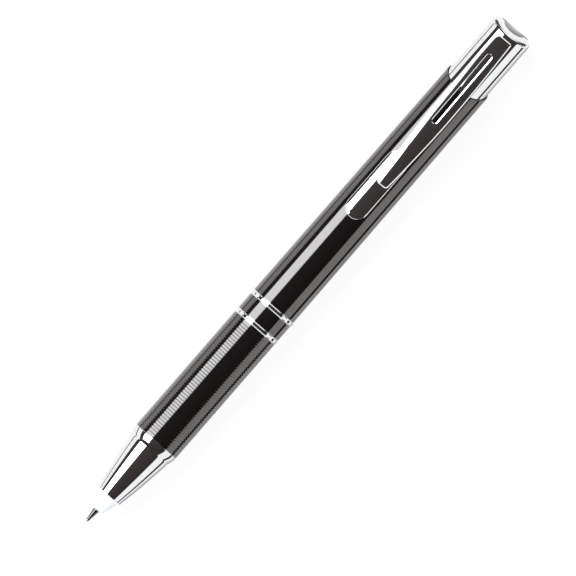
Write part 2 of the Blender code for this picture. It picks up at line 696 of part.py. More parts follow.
def build_battery_pack():
    plug_radius = CAN_BORE - FIT_GAP
    bore = REFILL_RADIUS + SEAT_GAP
    pin_bore = PIN_RADIUS + SEAT_GAP
    refill_stop = REFILL_LENGTH + SEAT_GAP
    turned("refill_socket", [
        (plug_radius, PLUG_REAR),
        (plug_radius, CAN_WALL_FRONT - SEAT_GAP),
        (CAN_RADIUS, CAN_WALL_FRONT - SEAT_GAP),
        (CAN_RADIUS, CAN_FRONT),
        (SOCKET_RADIUS, CAN_FRONT),
        (SOCKET_RADIUS, SOCKET_FRONT),
        (bore, SOCKET_FRONT),
        (bore, refill_stop),
        (pin_bore, refill_stop),
        (pin_bore, PLUG_REAR),
    ], REFILL, WHITE_PLASTIC, SMALL)
    turned("contact_pin", [
        (0, CELLS_FRONT - SEAT_GAP),
        (PIN_HEAD_RADIUS, CELLS_FRONT - SEAT_GAP),
        (PIN_HEAD_RADIUS, PIN_HEAD_FRONT),
        (PIN_RADIUS, PIN_HEAD_FRONT),
        (PIN_RADIUS, refill_stop),
        (0, refill_stop),
    ], REFILL, BRASS, SMALL)
    for number in range(CELL_COUNT):
        front = CELLS_FRONT + number * CELL_STEP
        rear = front + CELL_THICKNESS
        turned(f"button_cell_{number + 1}", [
            (0, rear),
            (CELL_RADIUS, rear),
            (CELL_RADIUS, front + 2 * CELL_EDGE),
            (CELL_RADIUS - 2 * CELL_EDGE, front),
            (0, front),
        ], REFILL, STEEL, SMALL)
    coil("battery_spring", BATTERY_SPRING_FRONT, BATTERY_SPRING_FRONT + BATTERY_SPRING_LENGTH, BATTERY_SPRING_TIP,
         CELL_RADIUS - BATTERY_SPRING_INSET, BATTERY_SPRING_WIRE, BATTERY_SPRING_TURNS, REFILL, STEEL)
    turned("battery_can", [
        (0, CAN_REAR),
        (CAN_RADIUS, CAN_REAR),
        (CAN_RADIUS, CAN_WALL_FRONT),
        (CAN_BORE, CAN_WALL_FRONT),
        (CAN_BORE, CAN_FLOOR_FRONT),
        (0, CAN_FLOOR_FRONT),
    ], REFILL, BRASS, SMALL)
    switch_radius = (COUPLER_BORE + COUPLER_RADIUS) / 2
    coil("switch_spring", COUPLER_END + SEAT_GAP, CAN_FRONT - SEAT_GAP, switch_radius, switch_radius,
         SWITCH_WIRE, SWITCH_TURNS, BARREL, STEEL)


# Click mechanism

def rib_angles():
    return [2 * math.pi * (number + 0.5) / CLICK_RIBS for number in range(CLICK_RIBS)]


def build_rotor():
    rotor = turned("cam_rotor", [
        (0, ROTOR_BODY_REAR + ROTOR_PILOT_LENGTH),
        (ROTOR_PILOT_RADIUS, ROTOR_BODY_REAR + ROTOR_PILOT_LENGTH),
        (ROTOR_PILOT_RADIUS, ROTOR_BODY_REAR),
        (ROTOR_BODY_RADIUS, ROTOR_BODY_REAR),
        (ROTOR_BODY_RADIUS, ROTOR_BODY_FRONT),
        (ROTOR_STEM_RADIUS, ROTOR_BODY_FRONT),
        (ROTOR_STEM_RADIUS, ROTOR_FRONT),
        (0, ROTOR_FRONT),
    ], ROTOR, BLACK_PLASTIC, SMALL)
    for number, angle in enumerate(rib_angles(), 1):
        join(rotor, sector(f"rotor_rib_{number}", ROTOR_BODY_RADIUS - CLICK_SINK, CLICK_RIB_RADIUS, angle,
                           RIB_SWEEP, ROTOR_BODY_FRONT + CLICK_SINK, ROTOR_BODY_REAR, ROTOR, RATCHET_RISE))


def build_pusher():
    bore_end = PUSHER_FRONT + PUSHER_BORE_LENGTH
    pusher = turned("pusher", [
        (0, PUSHER_REAR),
        (ROTOR_BODY_RADIUS, PUSHER_REAR),
        (ROTOR_BODY_RADIUS, PUSHER_FRONT),
        (PUSHER_BORE, PUSHER_FRONT),
        (PUSHER_BORE, bore_end),
        (0, bore_end),
    ], PLUNGER, WHITE_PLASTIC, CLICK_TEETH * TOOTH_STEPS)
    bake(pusher)
    for corner in pusher.data.vertices:
        if abs(corner.co.z - PUSHER_FRONT) < SEAT_GAP / 2:
            turn = math.atan2(corner.co.y, corner.co.x) * CLICK_TEETH / (2 * math.pi) % 1.0
            corner.co.z += RATCHET_RISE * (1 - abs(2 * turn - 1))
    for number, angle in enumerate(rib_angles(), 1):
        join(pusher, sector(f"pusher_rib_{number}", ROTOR_BODY_RADIUS - CLICK_SINK, CLICK_RIB_RADIUS, angle,
                            RIB_SWEEP, PUSHER_RIB_FRONT, PUSHER_RIB_REAR, PLUNGER))


def build_sleeve():
    sleeve = turned("cam_sleeve", [
        (SLEEVE_RADIUS, SLEEVE_REAR),
        (SLEEVE_RADIUS, SLEEVE_FRONT),
        (SLEEVE_LEAD_BORE, SLEEVE_FRONT),
        (SLEEVE_LEAD_BORE, SPLINE_FRONT),
        (SLEEVE_CREST, SPLINE_FRONT),
        (SLEEVE_CREST, SLEEVE_REAR),
    ], BARREL, WHITE_PLASTIC)
    ratchet_sweep = 2 * math.pi / CLICK_RIBS - GROOVE_SWEEP + RATCHET_OVERLAP
    for number, angle in enumerate(rib_angles(), 1):
        cut(sleeve, sector(f"groove_cutter_{number}", SLEEVE_CREST - CLICK_SINK, GROOVE_RADIUS, angle,
                           GROOVE_SWEEP, SPLINE_FRONT - CLICK_SINK, SPLINE_REAR, BARREL))
        between = angle + math.pi / CLICK_RIBS
        cut(sleeve, sector(f"ratchet_cutter_{number}", SLEEVE_CREST - CLICK_SINK, RATCHET_RADIUS, between,
                           ratchet_sweep, SPLINE_FRONT - CLICK_SINK, SPLINE_FRONT, BARREL, RATCHET_RISE))


# Push button and clip

def cap_end(height):
    """Station of the button's end: square below the axis, slanting back above it, towards the clip."""
    return BUTTON_TOP - math.tan(CAP_SLANT) * (height + math.hypot(height, CAP_SLANT_BLEND)) / 2


def cap_fall(height):
    """How steeply the button's end slants at a height."""
    return math.tan(CAP_SLANT) * (1 + height / math.hypot(height, CAP_SLANT_BLEND)) / 2


def cap_column(angle):
    """Radii and stations from the bore's end round the wall and the rim into the thumb dish, at an angle."""
    up = math.cos(angle)
    tilt = math.atan(cap_fall(CAP_RIM_CENTRE * up) * up)
    rim_edge = CAP_RIM_CENTRE + CAP_RIM_ROUND * math.sin(tilt)
    rim_station = cap_end(rim_edge * up) - CAP_RIM_ROUND * math.cos(tilt)
    column = [(CAP_BORE, CAP_BORE_END), (CAP_BORE, CAP_FRONT), (CAP_RADIUS, CAP_FRONT)]
    rim_steps = 4
    for step in range(rim_steps + 1):
        turn = (math.pi / 2 - tilt) * step / rim_steps
        radius = CAP_RIM_CENTRE + CAP_RIM_ROUND * math.cos(turn)
        column.append((radius, rim_station + CAP_RIM_ROUND * math.sin(turn)))
    dish_radius = CAP_RIM_CENTRE - DISH_MARGIN
    dish_steps = 4
    for step in range(dish_steps):
        share = 1 - step / dish_steps
        radius = dish_radius * share
        column.append((radius, cap_end(radius * up) - DISH_DEPTH * (1 - share * share)))
    return column


def build_cap():
    """A round-rimmed button with a slanted end and a thumb dish, bored from the front."""
    angles = [2 * math.pi * step / FINE for step in range(FINE)]
    columns = [cap_column(angle) for angle in angles]
    rows = []
    for level in zip(*columns):
        rows.append([
            (radius * math.cos(angle), radius * math.sin(angle), station)
            for angle, (radius, station) in zip(angles, level)
        ])
    rows.append([(0, 0, cap_end(0) - DISH_DEPTH)])
    cap = lofted("plunger_cap", rows, PLUNGER, CHROME)
    cut(cap, lug_block("cap_window_cutter", FIT_GAP, CORE_RADIUS - LUG_DEPTH))


def lug_block(name, margin, low):
    """The clip's lug, or with a margin the hole it goes through."""
    high = CAP_RADIUS + SEAT_GAP + CLIP_EDGE
    centre = ((low + high) / 2, 0, LUG_MIDDLE)
    size = (high - low, LUG_WIDTH + 2 * margin, LUG_LENGTH + 2 * margin)
    return block(name, centre, size, CLIP)


def build_core():
    core = tube("plunger_core", CORE_FRONT, CORE_REAR, ROTOR_BODY_RADIUS + FIT_GAP, CORE_RADIUS, PLUNGER,
                WHITE_PLASTIC)
    low = CORE_RADIUS - LUG_DEPTH
    centre = ((low + CAP_RADIUS) / 2, 0, (LUG_FRONT + CORE_REAR + CAP_WALL) / 2)
    size = (CAP_RADIUS - low, LUG_WIDTH + 2 * FIT_GAP, CORE_REAR + CAP_WALL - LUG_FRONT + 2 * FIT_GAP)
    cut(core, block("core_notch_cutter", centre, size, PLUNGER))


def clip_height(station):
    """Height of the clip's underside above the pen's axis."""
    foot = CAP_RADIUS + 2 * SEAT_GAP
    flat_middle = CLIP_ROOT - CLIP_FOOT_LENGTH - CLIP_RISE_LENGTH - CLIP_FLAT_LENGTH / 2
    top = barrel_radius(flat_middle) + CLIP_GAP
    tip = barrel_radius(CLIP_TIP) + FIT_GAP + PLATE_THICKNESS + CLIP_TIP_GAP
    rise_start = CLIP_ROOT - CLIP_FOOT_LENGTH
    dip_start = rise_start - CLIP_RISE_LENGTH - CLIP_FLAT_LENGTH
    dip_length = dip_start - CLIP_TIP - CLIP_UPTURN_LENGTH
    rise = smooth_step((rise_start - station) / CLIP_RISE_LENGTH)
    dip = smooth_step((dip_start - station) / dip_length)
    upturn = max(0.0, 1 - (station - CLIP_TIP) / CLIP_UPTURN_LENGTH)
    return foot + (top - foot) * rise + (tip - top) * dip + CLIP_UPTURN * upturn ** 2


def clip_half_width(station):
    """Half the clip's width: widest part way down, then tapering to a round tip."""
    from_root = CLIP_ROOT - station
    if from_root < CLIP_WIDEST:
        ease = math.sin(math.pi / 2 * from_root / CLIP_WIDEST)
        width = CLIP_ROOT_WIDTH + (CLIP_WIDTH - CLIP_ROOT_WIDTH) * ease
    else:
        share = (from_root - CLIP_WIDEST) / (CLIP_LENGTH - CLIP_WIDEST)
        width = CLIP_WIDTH + (CLIP_TIP_WIDTH - CLIP_WIDTH) * share ** 1.7
    tip_radius = CLIP_TIP_WIDTH / 2
    from_tip = station - CLIP_TIP
    if from_tip < tip_radius:
        return width / 2 * math.sqrt(max(0.0, 1 - (1 - from_tip / tip_radius) ** 2))
    return width / 2


def clip_section(station):
    """Points across the clip at one station: a flat underside and a crowned top with eased corners."""
    half = clip_half_width(station)
    base = clip_height(station)
    corner = min(CLIP_CORNER, half / 3)
    inner = half - corner
    section = [(-half, 0), (half, 0), (half, CLIP_EDGE - corner)]
    crown_steps = 7
    for step in range(crown_steps + 1):
        across = 1 - 2 * step / crown_steps
        section.append((inner * across, CLIP_EDGE + CLIP_CROWN * (1 - across * across)))
    section.append((-half, CLIP_EDGE - corner))
    return [(base + up, across, station) for across, up in section]


def clip_stations():
    """Stations from tip to root, close together round the tip."""
    tip_radius = CLIP_TIP_WIDTH / 2
    round_steps = 5
    stations = [CLIP_TIP + tip_radius * (1 - math.cos(math.pi / 2 * (i + 0.5) / (round_steps + 0.5)))
                for i in range(round_steps + 1)]
    body_start = stations[-1]
    body_steps = 28
    for step in range(1, body_steps + 1):
        stations.append(body_start + (CLIP_ROOT - body_start) * step / body_steps)
    return stations


def build_clip():
    clip = lofted("pocket_clip", [clip_section(station) for station in clip_stations()], CLIP, CHROME)
    slot_rear = CLIP_ROOT - CLIP_SLOT_INSET
    cut(clip, racetrack("clip_slot_cutter", slot_rear - CLIP_SLOT_LENGTH, slot_rear, CLIP_SLOT_WIDTH,
                        0.5 * CAP_RADIUS, 3 * CAP_RADIUS, CLIP))
    join(clip, lug_block("clip_lug", 0.0, CORE_RADIUS - LUG_DEPTH + FIT_GAP))


clear_scene()
PARTS = make_collection("light_up_pen")
CUTTERS = make_collection("cutters")

CHROME = make_finish("chrome", (0.86, 0.87, 0.88), 1.0, 0.06)
GUNMETAL = make_finish("gunmetal", (0.11, 0.105, 0.1), 1.0, 0.15)
CLEAR = make_finish("frosted_lens", (0.9, 0.94, 1.0), 0.0, 0.35)
NICKEL = make_finish("nickel_silver", (0.66, 0.63, 0.58), 1.0, 0.2)
BRASS = make_finish("brass", (0.72, 0.55, 0.27), 1.0, 0.25)
STEEL = make_finish("steel", (0.6, 0.6, 0.62), 1.0, 0.25)
BOARD = make_finish("board", (0.03, 0.18, 0.07), 0.0, 0.5)
LAMP = make_finish("lamp", (0.95, 0.92, 0.7), 0.0, 0.4)
WHITE_PLASTIC = make_finish("white_plastic", (0.82, 0.82, 0.8), 0.0, 0.45)
BLACK_PLASTIC = make_finish("black_plastic", (0.03, 0.03, 0.03), 0.0, 0.45)

BARREL = make_frame("barrel_axis")
LAID_DOWN = Matrix(((0, 0, 1), (0, -1, 0), (1, 0, 0))).to_4x4()
BARREL.matrix_world = Matrix.Translation((-PEN_LENGTH / 2, 0, AXIS_HEIGHT)) @ LAID_DOWN
PLUNGER = make_frame("plunger_axis", BARREL)
CLIP = make_frame("clip_axis", PLUNGER)
CLIP.matrix_local = (
    Matrix.Translation((0, 0, LUG_MIDDLE))
    @ Matrix.Rotation(CLIP_LEAN, 4, "X")
    @ Matrix.Translation((0, 0, -LUG_MIDDLE))
)
REFILL = make_frame("refill_axis", BARREL)
ROTOR = make_frame("rotor_axis", REFILL)

build_refill()
build_lens()
build_lamps()
build_nose()
build_grip()
build_joint()
build_upper_barrel()
build_guide_plate()
build_battery_pack()
build_rotor()
build_pusher()
build_sleeve()
build_cap()
build_core()
build_clip()
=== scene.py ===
"""Looks of the light-up pen: fine meshes for what shows and the springs, finishes, studio and camera.

The pen lies along X with its point towards -X and its clip upwards, on the floor at Z = 0.
"""
import json
import math

import bmesh
import bpy
from mathutils import Matrix, Vector

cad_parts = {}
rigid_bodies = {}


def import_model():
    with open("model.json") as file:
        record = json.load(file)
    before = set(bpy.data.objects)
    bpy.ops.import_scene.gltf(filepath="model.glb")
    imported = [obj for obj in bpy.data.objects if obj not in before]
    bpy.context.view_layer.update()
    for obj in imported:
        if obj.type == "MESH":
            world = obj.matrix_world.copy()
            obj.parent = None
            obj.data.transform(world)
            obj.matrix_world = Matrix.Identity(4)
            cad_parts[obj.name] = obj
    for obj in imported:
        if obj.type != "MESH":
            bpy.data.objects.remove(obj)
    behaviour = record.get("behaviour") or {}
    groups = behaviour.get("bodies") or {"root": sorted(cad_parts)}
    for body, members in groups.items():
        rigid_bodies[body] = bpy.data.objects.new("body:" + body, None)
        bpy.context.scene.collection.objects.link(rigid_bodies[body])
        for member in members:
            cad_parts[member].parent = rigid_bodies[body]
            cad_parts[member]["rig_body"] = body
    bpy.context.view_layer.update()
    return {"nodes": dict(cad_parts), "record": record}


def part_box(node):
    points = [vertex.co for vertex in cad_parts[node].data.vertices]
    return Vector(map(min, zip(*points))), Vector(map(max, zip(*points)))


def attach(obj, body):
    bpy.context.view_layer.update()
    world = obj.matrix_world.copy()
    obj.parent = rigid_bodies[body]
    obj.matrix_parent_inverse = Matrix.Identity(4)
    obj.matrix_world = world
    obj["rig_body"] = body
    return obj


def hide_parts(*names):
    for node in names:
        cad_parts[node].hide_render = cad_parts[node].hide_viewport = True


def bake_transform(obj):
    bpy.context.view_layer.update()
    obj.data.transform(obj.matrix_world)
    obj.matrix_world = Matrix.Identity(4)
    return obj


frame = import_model()

MM = 0.001

# Mesh density
STEPS = 192
CORNER_STEPS = 6
BALL_ROWS = 24
CONE_STEPS = 48
FLARE_STEPS = 16
COIL_STEPS = 32
WIRE_STEPS = 10
GROOVE_STEPS = 8
PLATE_END_STEPS = 32
PLATE_INNER_STEPS = 12
RIM_STEPS = 20
FLAT_STEPS = 6
LIP_STEPS = 5
BOWL_STEPS = 24
CLIP_ROOT_STEPS = 8
CLIP_SIDE_STEPS = 64
CLIP_TAPER_STEPS = 48
CLIP_TIP_STEPS = 12
CLIP_END_STEPS = 8
CLIP_TOP_STEPS = 30
CLIP_UNDER_STEPS = 16
BEVEL_SHARES = (0.0, 0.05, 0.5, 0.95, 1.0)
POLE_RADIUS = 1e-9
WELD_DISTANCE = 1e-7
SHARP_ANGLE = 40.0
RING_SHARP_ANGLE = 25.0

# Writing end
POINT_CONE_LENGTH = 11.5 * MM
POINT_LIP_RADIUS = 0.38 * MM
POINT_LIP_ROUND = 0.2 * MM
POINT_SHANK_RADIUS = 0.85 * MM
POINT_SHANK_ROUND = 0.1 * MM
POINT_NECK_LENGTH = 3.2 * MM
POINT_NECK_RADIUS = 0.7 * MM
POINT_CONE_ROUND = 0.05 * MM
POINT_EDGE = 0.03 * MM
POINT_EDGE_ROUND = 0.01 * MM
BALL_SEAT_DEPTH = 0.05 * MM
LENS_FRONT_RADIUS = 1.45 * MM
LENS_FRONT_ROUND = 0.3 * MM
LENS_SHOULDER_ROUND = 0.12 * MM
LENS_NECK_RADIUS = 2.32 * MM
LENS_BORE_FRONT = 0.85 * MM
LENS_BORE_ROUND = 0.08 * MM
LENS_BORE_REAR = 1.35 * MM
NOSE_FRONT_RADIUS = 2.98 * MM
NOSE_FRONT_ROUND = 0.1 * MM
NOSE_AIM_LENGTH = 1.0 * MM
NOSE_AIM_SHARE = 1 / 14
NOSE_CONE_FROM = 0.012
NOSE_REAR_RADIUS = 5.0 * MM
NOSE_COLLAR_RADIUS = 5.47 * MM
NOSE_BULGE = 0.14 * MM
NOSE_FLARE_LENGTH = 2.02 * MM
NOSE_STUB_RADIUS = 4.7 * MM
NOSE_BORE = 2.39 * MM
NOSE_BORE_ROUND = 0.06 * MM
NOSE_STUB_BORE = 3.6 * MM
NOSE_BORE_STEP = 9.0 * MM

# Barrels. A chamfer or bevel of two sizes has a width and a drop
BARREL_TOP_RADIUS = 5.24 * MM
BARREL_BORE = 4.77 * MM
MOUTH_BORE = 4.98 * MM
MOUTH_AHEAD = 1.4 * MM
BARREL_SLANT = math.radians(25.0)
BARREL_EDGE = 0.12 * MM
RIB_PITCH = 0.66 * MM
RIB_MARGIN = 0.7 * MM
GROOVE_DEPTH = 0.042 * MM
GROOVE_WIDTH = 0.28 * MM
RING_CHAMFER = (0.2 * MM, 0.145 * MM)
RING_STAND = 0.1 * MM
BARREL_CHAMFER = 0.06 * MM
SEAT_GAP = 0.05 * MM
SEAT_DEPTH = 0.35 * MM

# Springs: turns, radii at front and rear, wire radius, and the other body at the rear end; a spring that
# has one is left unattached
SPRINGS = {
    "return_spring": (10.0, 1.8 * MM, 1.8 * MM, 0.17 * MM, "refill"),
    "switch_spring": (1.5, 4.3 * MM, 4.3 * MM, 0.12 * MM, "refill"),
    "battery_spring": (2.5, 1.2 * MM, 3.3 * MM, 0.16 * MM, None),
}

# Guide plate. The last two are shares at its front and rear, on one side of the plate
PLATE_LIFT = 0.05 * MM
PLATE_HEIGHT = 0.57 * MM
PLATE_LIP = 0.1 * MM
PLATE_LIP_ROUND = 0.02 * MM
PLATE_BEVEL = (0.5 * MM, 0.066 * MM)
PLATE_BEVEL_ROUND = 0.1 * MM
PLATE_DRAW_IN = (0.04, 0.06)
PLATE_STEEPER = (0.5, 0.1)

# Push button
CAP_SLANT = math.radians(25.5)
CAP_SLANT_BLEND = 1.5 * MM
CAP_RIM_ROUND = 1.25 * MM
CAP_BORE = 4.1 * MM
CAP_TOP_THICKNESS = 4.19 * MM
DISH_MARGIN = 0.92 * MM
DISH_DEPTH = 0.6 * MM
DISH_LIP = 0.1 * MM
DISH_LIP_DROP = DISH_LIP / 4

# Pocket clip
CLIP_LENGTH = 40.1 * MM
CLIP_LEAN = math.radians(0.95)
CLIP_FOOT_LENGTH = 5.0 * MM
CLIP_RISE_LENGTH = 17.0 * MM
CLIP_FLAT_LENGTH = 8.0 * MM
CLIP_UPTURN_LENGTH = 1.6 * MM
CLIP_UPTURN = 0.3 * MM
CLIP_FOOT_HEIGHT = 4.95 * MM
CLIP_TOP_HEIGHT = 7.649 * MM
CLIP_TIP_HEIGHT = 6.178 * MM
CLIP_ROOT_WIDTH = 4.1 * MM
CLIP_WIDTH = 4.9 * MM
CLIP_WIDEST = 19.6 * MM
CLIP_TIP_WIDTH = 2.7 * MM
CLIP_TIP_CORNER = 0.75 * MM
CLIP_TAPER_POWER = 1.7
CLIP_EDGE = 0.47 * MM
CLIP_CROWN_SHARE = 0.093
CLIP_CROWN_GAIN = 0.085
CLIP_CROWN_SPAN = (6.0 * MM, 36.0 * MM)
CLIP_ROOT_CROWN = 0.05
CLIP_ROOT_SPAN = 1.3 * MM
CLIP_CHAMFER = (0.23 * MM, 0.214 * MM)
CLIP_CORNER = 0.35 * MM
CLIP_SLOT_LENGTH = 18.9 * MM
CLIP_SLOT_WIDTH = 1.5 * MM
CLIP_SLOT_INSET = 4.3 * MM
CLIP_HOLE_WIDTH = 1.067 * MM
CLIP_HOLE_SHIFT = -0.0735 * MM
CLIP_HOLE_TRIM = 0.12 * MM
CLIP_SLOT_DROP = 0.1 * MM
LUG_DEPTH = 1.9 * MM
LUG_SIZE = (2.3 * MM, 2.0 * MM)
LUG_INSET = 2.35 * MM

# Finishes by slot: name, share of metal, darker and lighter colour, range of roughness, sizes of the
# worn spots and of the grain, and depth of the grain
SURFACES = {
    "chrome": ("polished_chrome", 1.0, (0.80, 0.805, 0.815), (0.86, 0.865, 0.875), (0.025, 0.05),
               6 * MM, 0.3 * MM, 0.0002 * MM),
    "gunmetal": ("polished_gunmetal", 0.955, (0.106, 0.097, 0.095), (0.114, 0.105, 0.103), (0.06, 0.09),
                 5 * MM, 0.08 * MM, 0.0002 * MM),
    "nickel_silver": ("turned_nickel", 1.0, (0.15, 0.145, 0.14), (0.19, 0.185, 0.18), (0.06, 0.1),
                      1.5 * MM, 0.1 * MM, 0.0004 * MM),
    "brass": ("turned_brass", 1.0, (0.66, 0.49, 0.22), (0.76, 0.59, 0.30), (0.18, 0.3),
              3 * MM, 0.1 * MM, 0.001 * MM),
    "steel": ("bright_steel", 1.0, (0.54, 0.54, 0.56), (0.64, 0.64, 0.66), (0.16, 0.28),
              2 * MM, 0.1 * MM, 0.001 * MM),
    "board": ("green_board", 0.0, (0.02, 0.14, 0.05), (0.04, 0.2, 0.08), (0.4, 0.55),
              1 * MM, 0.2 * MM, 0.004 * MM),
    "white_plastic": ("moulded_white", 0.0, (0.78, 0.78, 0.76), (0.84, 0.84, 0.82), (0.4, 0.5),
                      4 * MM, 0.15 * MM, 0.003 * MM),
    "black_plastic": ("moulded_black", 0.0, (0.025, 0.025, 0.025), (0.035, 0.035, 0.035), (0.4, 0.5),
                      4 * MM, 0.15 * MM, 0.003 * MM),
}
# Lit finishes by slot: name, colour, strength, size of the dimmer spots, and roughness
GLOWS = {
    "frosted_lens": ("lit_lens", (0.89, 0.935, 1.0), 0.6, 1.5 * MM, 0.3),
    "lamp": ("lit_lamp", (0.97, 0.97, 0.88), 1.5, 0.4 * MM, 0.35),
}
GUNMETAL_COAT_WEIGHT = 0.8
GUNMETAL_COAT_ROUGHNESS = 0.04
GLOW_DIMMED = 0.93
NOISE_RANGE = (0.3, 0.7)
WEAR_DETAIL = 3.0
GRAIN_DETAIL = 1.0

# Camera over the pen, leant a little to one side and turned so that the pen climbs to the right
CAMERA_HEIGHT = 3.0
SENSOR_WIDTH = 36.0
FRAME_WIDTH = 0.12065
PEN_TILT = math.radians(49.0)
CAMERA_ROLL = math.radians(1.9)
CAMERA_OFFSET = (-3.904 * MM, 0.19 * MM)

# Light of the studio's bands
STRIP_LIGHT = (4.73, 4.95, 5.03)
CARD_LIGHT = (1.06, 1.06, 1.06)
DARK_LIGHT = (0.048, 0.043, 0.041)
DARK_BY_STRIP = (0.056, 0.050, 0.048)
DARK_BY_CARD = (0.032, 0.028, 0.026)
# Edges of the bands across the pen, in degrees from the camera towards the photo's right
HORIZON = 90.0
LEFT_CARD_EDGE = -79.5
STRIP_EDGES = (-58.3, -22.6)
RIGHT_CARD_EDGE = 60.0
EDGE_BLUR = 1.5
STRIP_FADE = 2.0
# Ends of the bands along the pen, as the sine of the angle from straight up
STRIP_REACH = 0.5
DARK_CARD_REACH = 0.465
PALE_REACH = 0.86
REACH_BLUR = 0.05
# Sockets of a mix node that hold colours
MIX_FIRST = 6
MIX_SECOND = 7
MIX_RESULT = 2

# Floor
FLOOR_SIZE = 3.0
FLOOR_GLOW = 0.95
FLOOR_COLOUR = (0.1, 0.1, 0.1, 1.0)
WHITE = (1.0, 1.0, 1.0, 1.0)
# Height and colour of the painted dark sheets, seen only in reflections
PAINTED_DARK_HEIGHT = 0.02 * MM
PAINTED_DARK_COLOUR = (0.01, 0.01, 0.01, 1.0)
# Dark sheets on the floor that only show in the metal, where they paint dark reflections and, for some,
# the floor's shade near the pen:
# two corners in metres, the axis along which they fade, and the share of darkness at the low and the
# high end
LONG_PAINTED_DARK = (
    # Painted dark reflections along the pen, which make the thin dark lines at its sides
    ((-0.2, 0.0259), (0.0685, 0.0367), "Y", 1.0, 1.0),
    ((-0.2, -0.0438), (0.0685, -0.0201), "Y", 1.0, 1.0),
    # Painted shadow: the pen's shadow on the floor beside it, seen only in the metal, darker towards the
    # pen
    ((-0.2, -0.0155), (0.0685, -0.004), "Y", 0.0, 0.8),
)
# Painted dark reflections off to one side beyond the button's end, darker away from the pen
CORNER_PAINTED_DARK = (
    ((0.0735, 0.0125), (0.079, 0.03), "X", 0.1, 1.0),
    ((0.079, 0.0125), (0.4, 0.03), "X", 1.0, 1.0),
    ((0.083, 0.03), (0.095, 0.25), "X", 0.1, 1.0),
    ((0.095, 0.03), (0.4, 0.25), "X", 1.0, 1.0),
)
# The same painted dark reflections, mirrored to the other side of the pen
OPPOSITE_PAINTED_DARK = tuple(
    ((low[0], -high[1]), (high[0], -low[1]), *fade) for low, high, *fade in CORNER_PAINTED_DARK
)
# Painted shade: the floor's shade under the button's end and just beyond it, seen only in the metal,
# fading away from the pen
BUTTON_PAINTED_SHADE = (
    ((0.06, -0.0035), (0.0693, 0.0035), "X", 1.0, 1.0),
    ((0.0693, -0.0035), (0.0716, 0.0035), "X", 1.0, 0.15),
)
# Every painted dark sheet: dark reflections and painted shade
PAINTED_DARK_SHEETS = LONG_PAINTED_DARK + CORNER_PAINTED_DARK + OPPOSITE_PAINTED_DARK + BUTTON_PAINTED_SHADE


def span(node):
    """First and last station of a CAD node along the pen."""
    low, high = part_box(node)
    return low.x, high.x


def reach(node):
    """Outer radius of a CAD node, from its width."""
    low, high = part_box(node)
    return (high.y - low.y) / 2


ring_low, ring_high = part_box("upper_ring")
AXIS_Z = (ring_low.z + ring_high.z) / 2
BARREL_RADIUS = reach("centre_band")
BARREL_AT_RING = reach("upper_ring") - RING_STAND
CAP_RADIUS = reach("plunger_cap")


# Mesh helpers

def smooth_step(share):
    """Ease from 0 to 1 with level ends."""
    share = min(max(share, 0.0), 1.0)
    return share * share * (3 - 2 * share)


def on_axis(station, radius, angle):
    """A point of the pen at an angle from the clip's side."""
    return station, radius * math.sin(angle), AXIS_Z + radius * math.cos(angle)


def rounded(points):
    """A closed profile of (station, radius, rounding) corners with an arc at each rounded one."""
    outline = []
    for number, (station, radius, rounding) in enumerate(points):
        corner = Vector((station, radius))
        if rounding == 0:
            outline.append((station, radius))
            continue
        before = (Vector(points[number - 1][:2]) - corner).normalized()
        after = (Vector(points[(number + 1) % len(points)][:2]) - corner).normalized()
        half = before.angle(after) / 2
        centre = corner + (before + after).normalized() * rounding / math.sin(half)
        start = corner + before * rounding / math.tan(half) - centre
        end = corner + after * rounding / math.tan(half) - centre
        sweep = math.pi - 2 * half
        for step in range(CORNER_STEPS + 1):
            share = step / CORNER_STEPS
            arm = start * math.sin((1 - share) * sweep) + end * math.sin(share * sweep)
            outline.append(tuple(centre + arm / math.sin(sweep)))
    return outline


def skin(loops, closed):
    """Faces between loops of points. A loop of one point is a pole. A closed set joins last to first."""
    solid = bmesh.new()
    rows = [[solid.verts.new(point) for point in loop] for loop in loops]
    followers = rows[1:] + rows[:1] if closed else rows[1:]
    for row, following in zip(rows, followers):
        count = max(len(row), len(following))
        for step in range(count):
            after = (step + 1) % count
            corners = [
                row[step % len(row)],
                row[after % len(row)],
                following[after % len(following)],
                following[step % len(following)],
            ]
            distinct = list(dict.fromkeys(corners))
            if len(distinct) > 2:
                solid.faces.new(distinct)
    return solid


def turned_loops(profile, slant=0.0, slant_from=math.inf):
    """Loops of a profile turned round the pen. Beyond a station they slope, lower on the clip's side."""
    loops = []
    for station, radius in profile:
        if radius < POLE_RADIUS:
            loops.append([on_axis(station, 0.0, 0.0)])
            continue
        slope = math.tan(slant) if station > slant_from else 0.0
        loops.append([
            on_axis(station - radius * math.cos(angle) * slope, radius, angle)
            for angle in (2 * math.pi * step / STEPS for step in range(STEPS))
        ])
    return loops


def dress(node, solid, sharp=SHARP_ANGLE, far_body=None):
    """Make the mesh that stands for a CAD node and moves with its body, or stays fixed where it is built
    when it meets a far one.
    """
    slot = SLOTS[node]
    bmesh.ops.remove_doubles(solid, verts=solid.verts, dist=WELD_DISTANCE)
    bmesh.ops.recalc_face_normals(solid, faces=solid.faces)
    mesh = bpy.data.meshes.new(node + "_fine")
    solid.to_mesh(mesh)
    solid.free()
    mesh.shade_smooth()
    mesh.set_sharp_from_angle(angle=math.radians(sharp))
    mesh.materials.append(FINISHES[slot])
    piece = bpy.data.objects.new(node + "_fine", mesh)
    bpy.context.scene.collection.objects.link(piece)
    body = frame["nodes"][node]["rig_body"]
    if far_body:
        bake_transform(piece)
    else:
        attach(piece, body)
    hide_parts(node)


# Materials

def new_finish(name):
    """A new material, with its node tree and its shader."""
    finish = bpy.data.materials.new(name)
    finish.use_nodes = True
    tree = finish.node_tree
    return finish, tree, tree.nodes["Principled BSDF"]


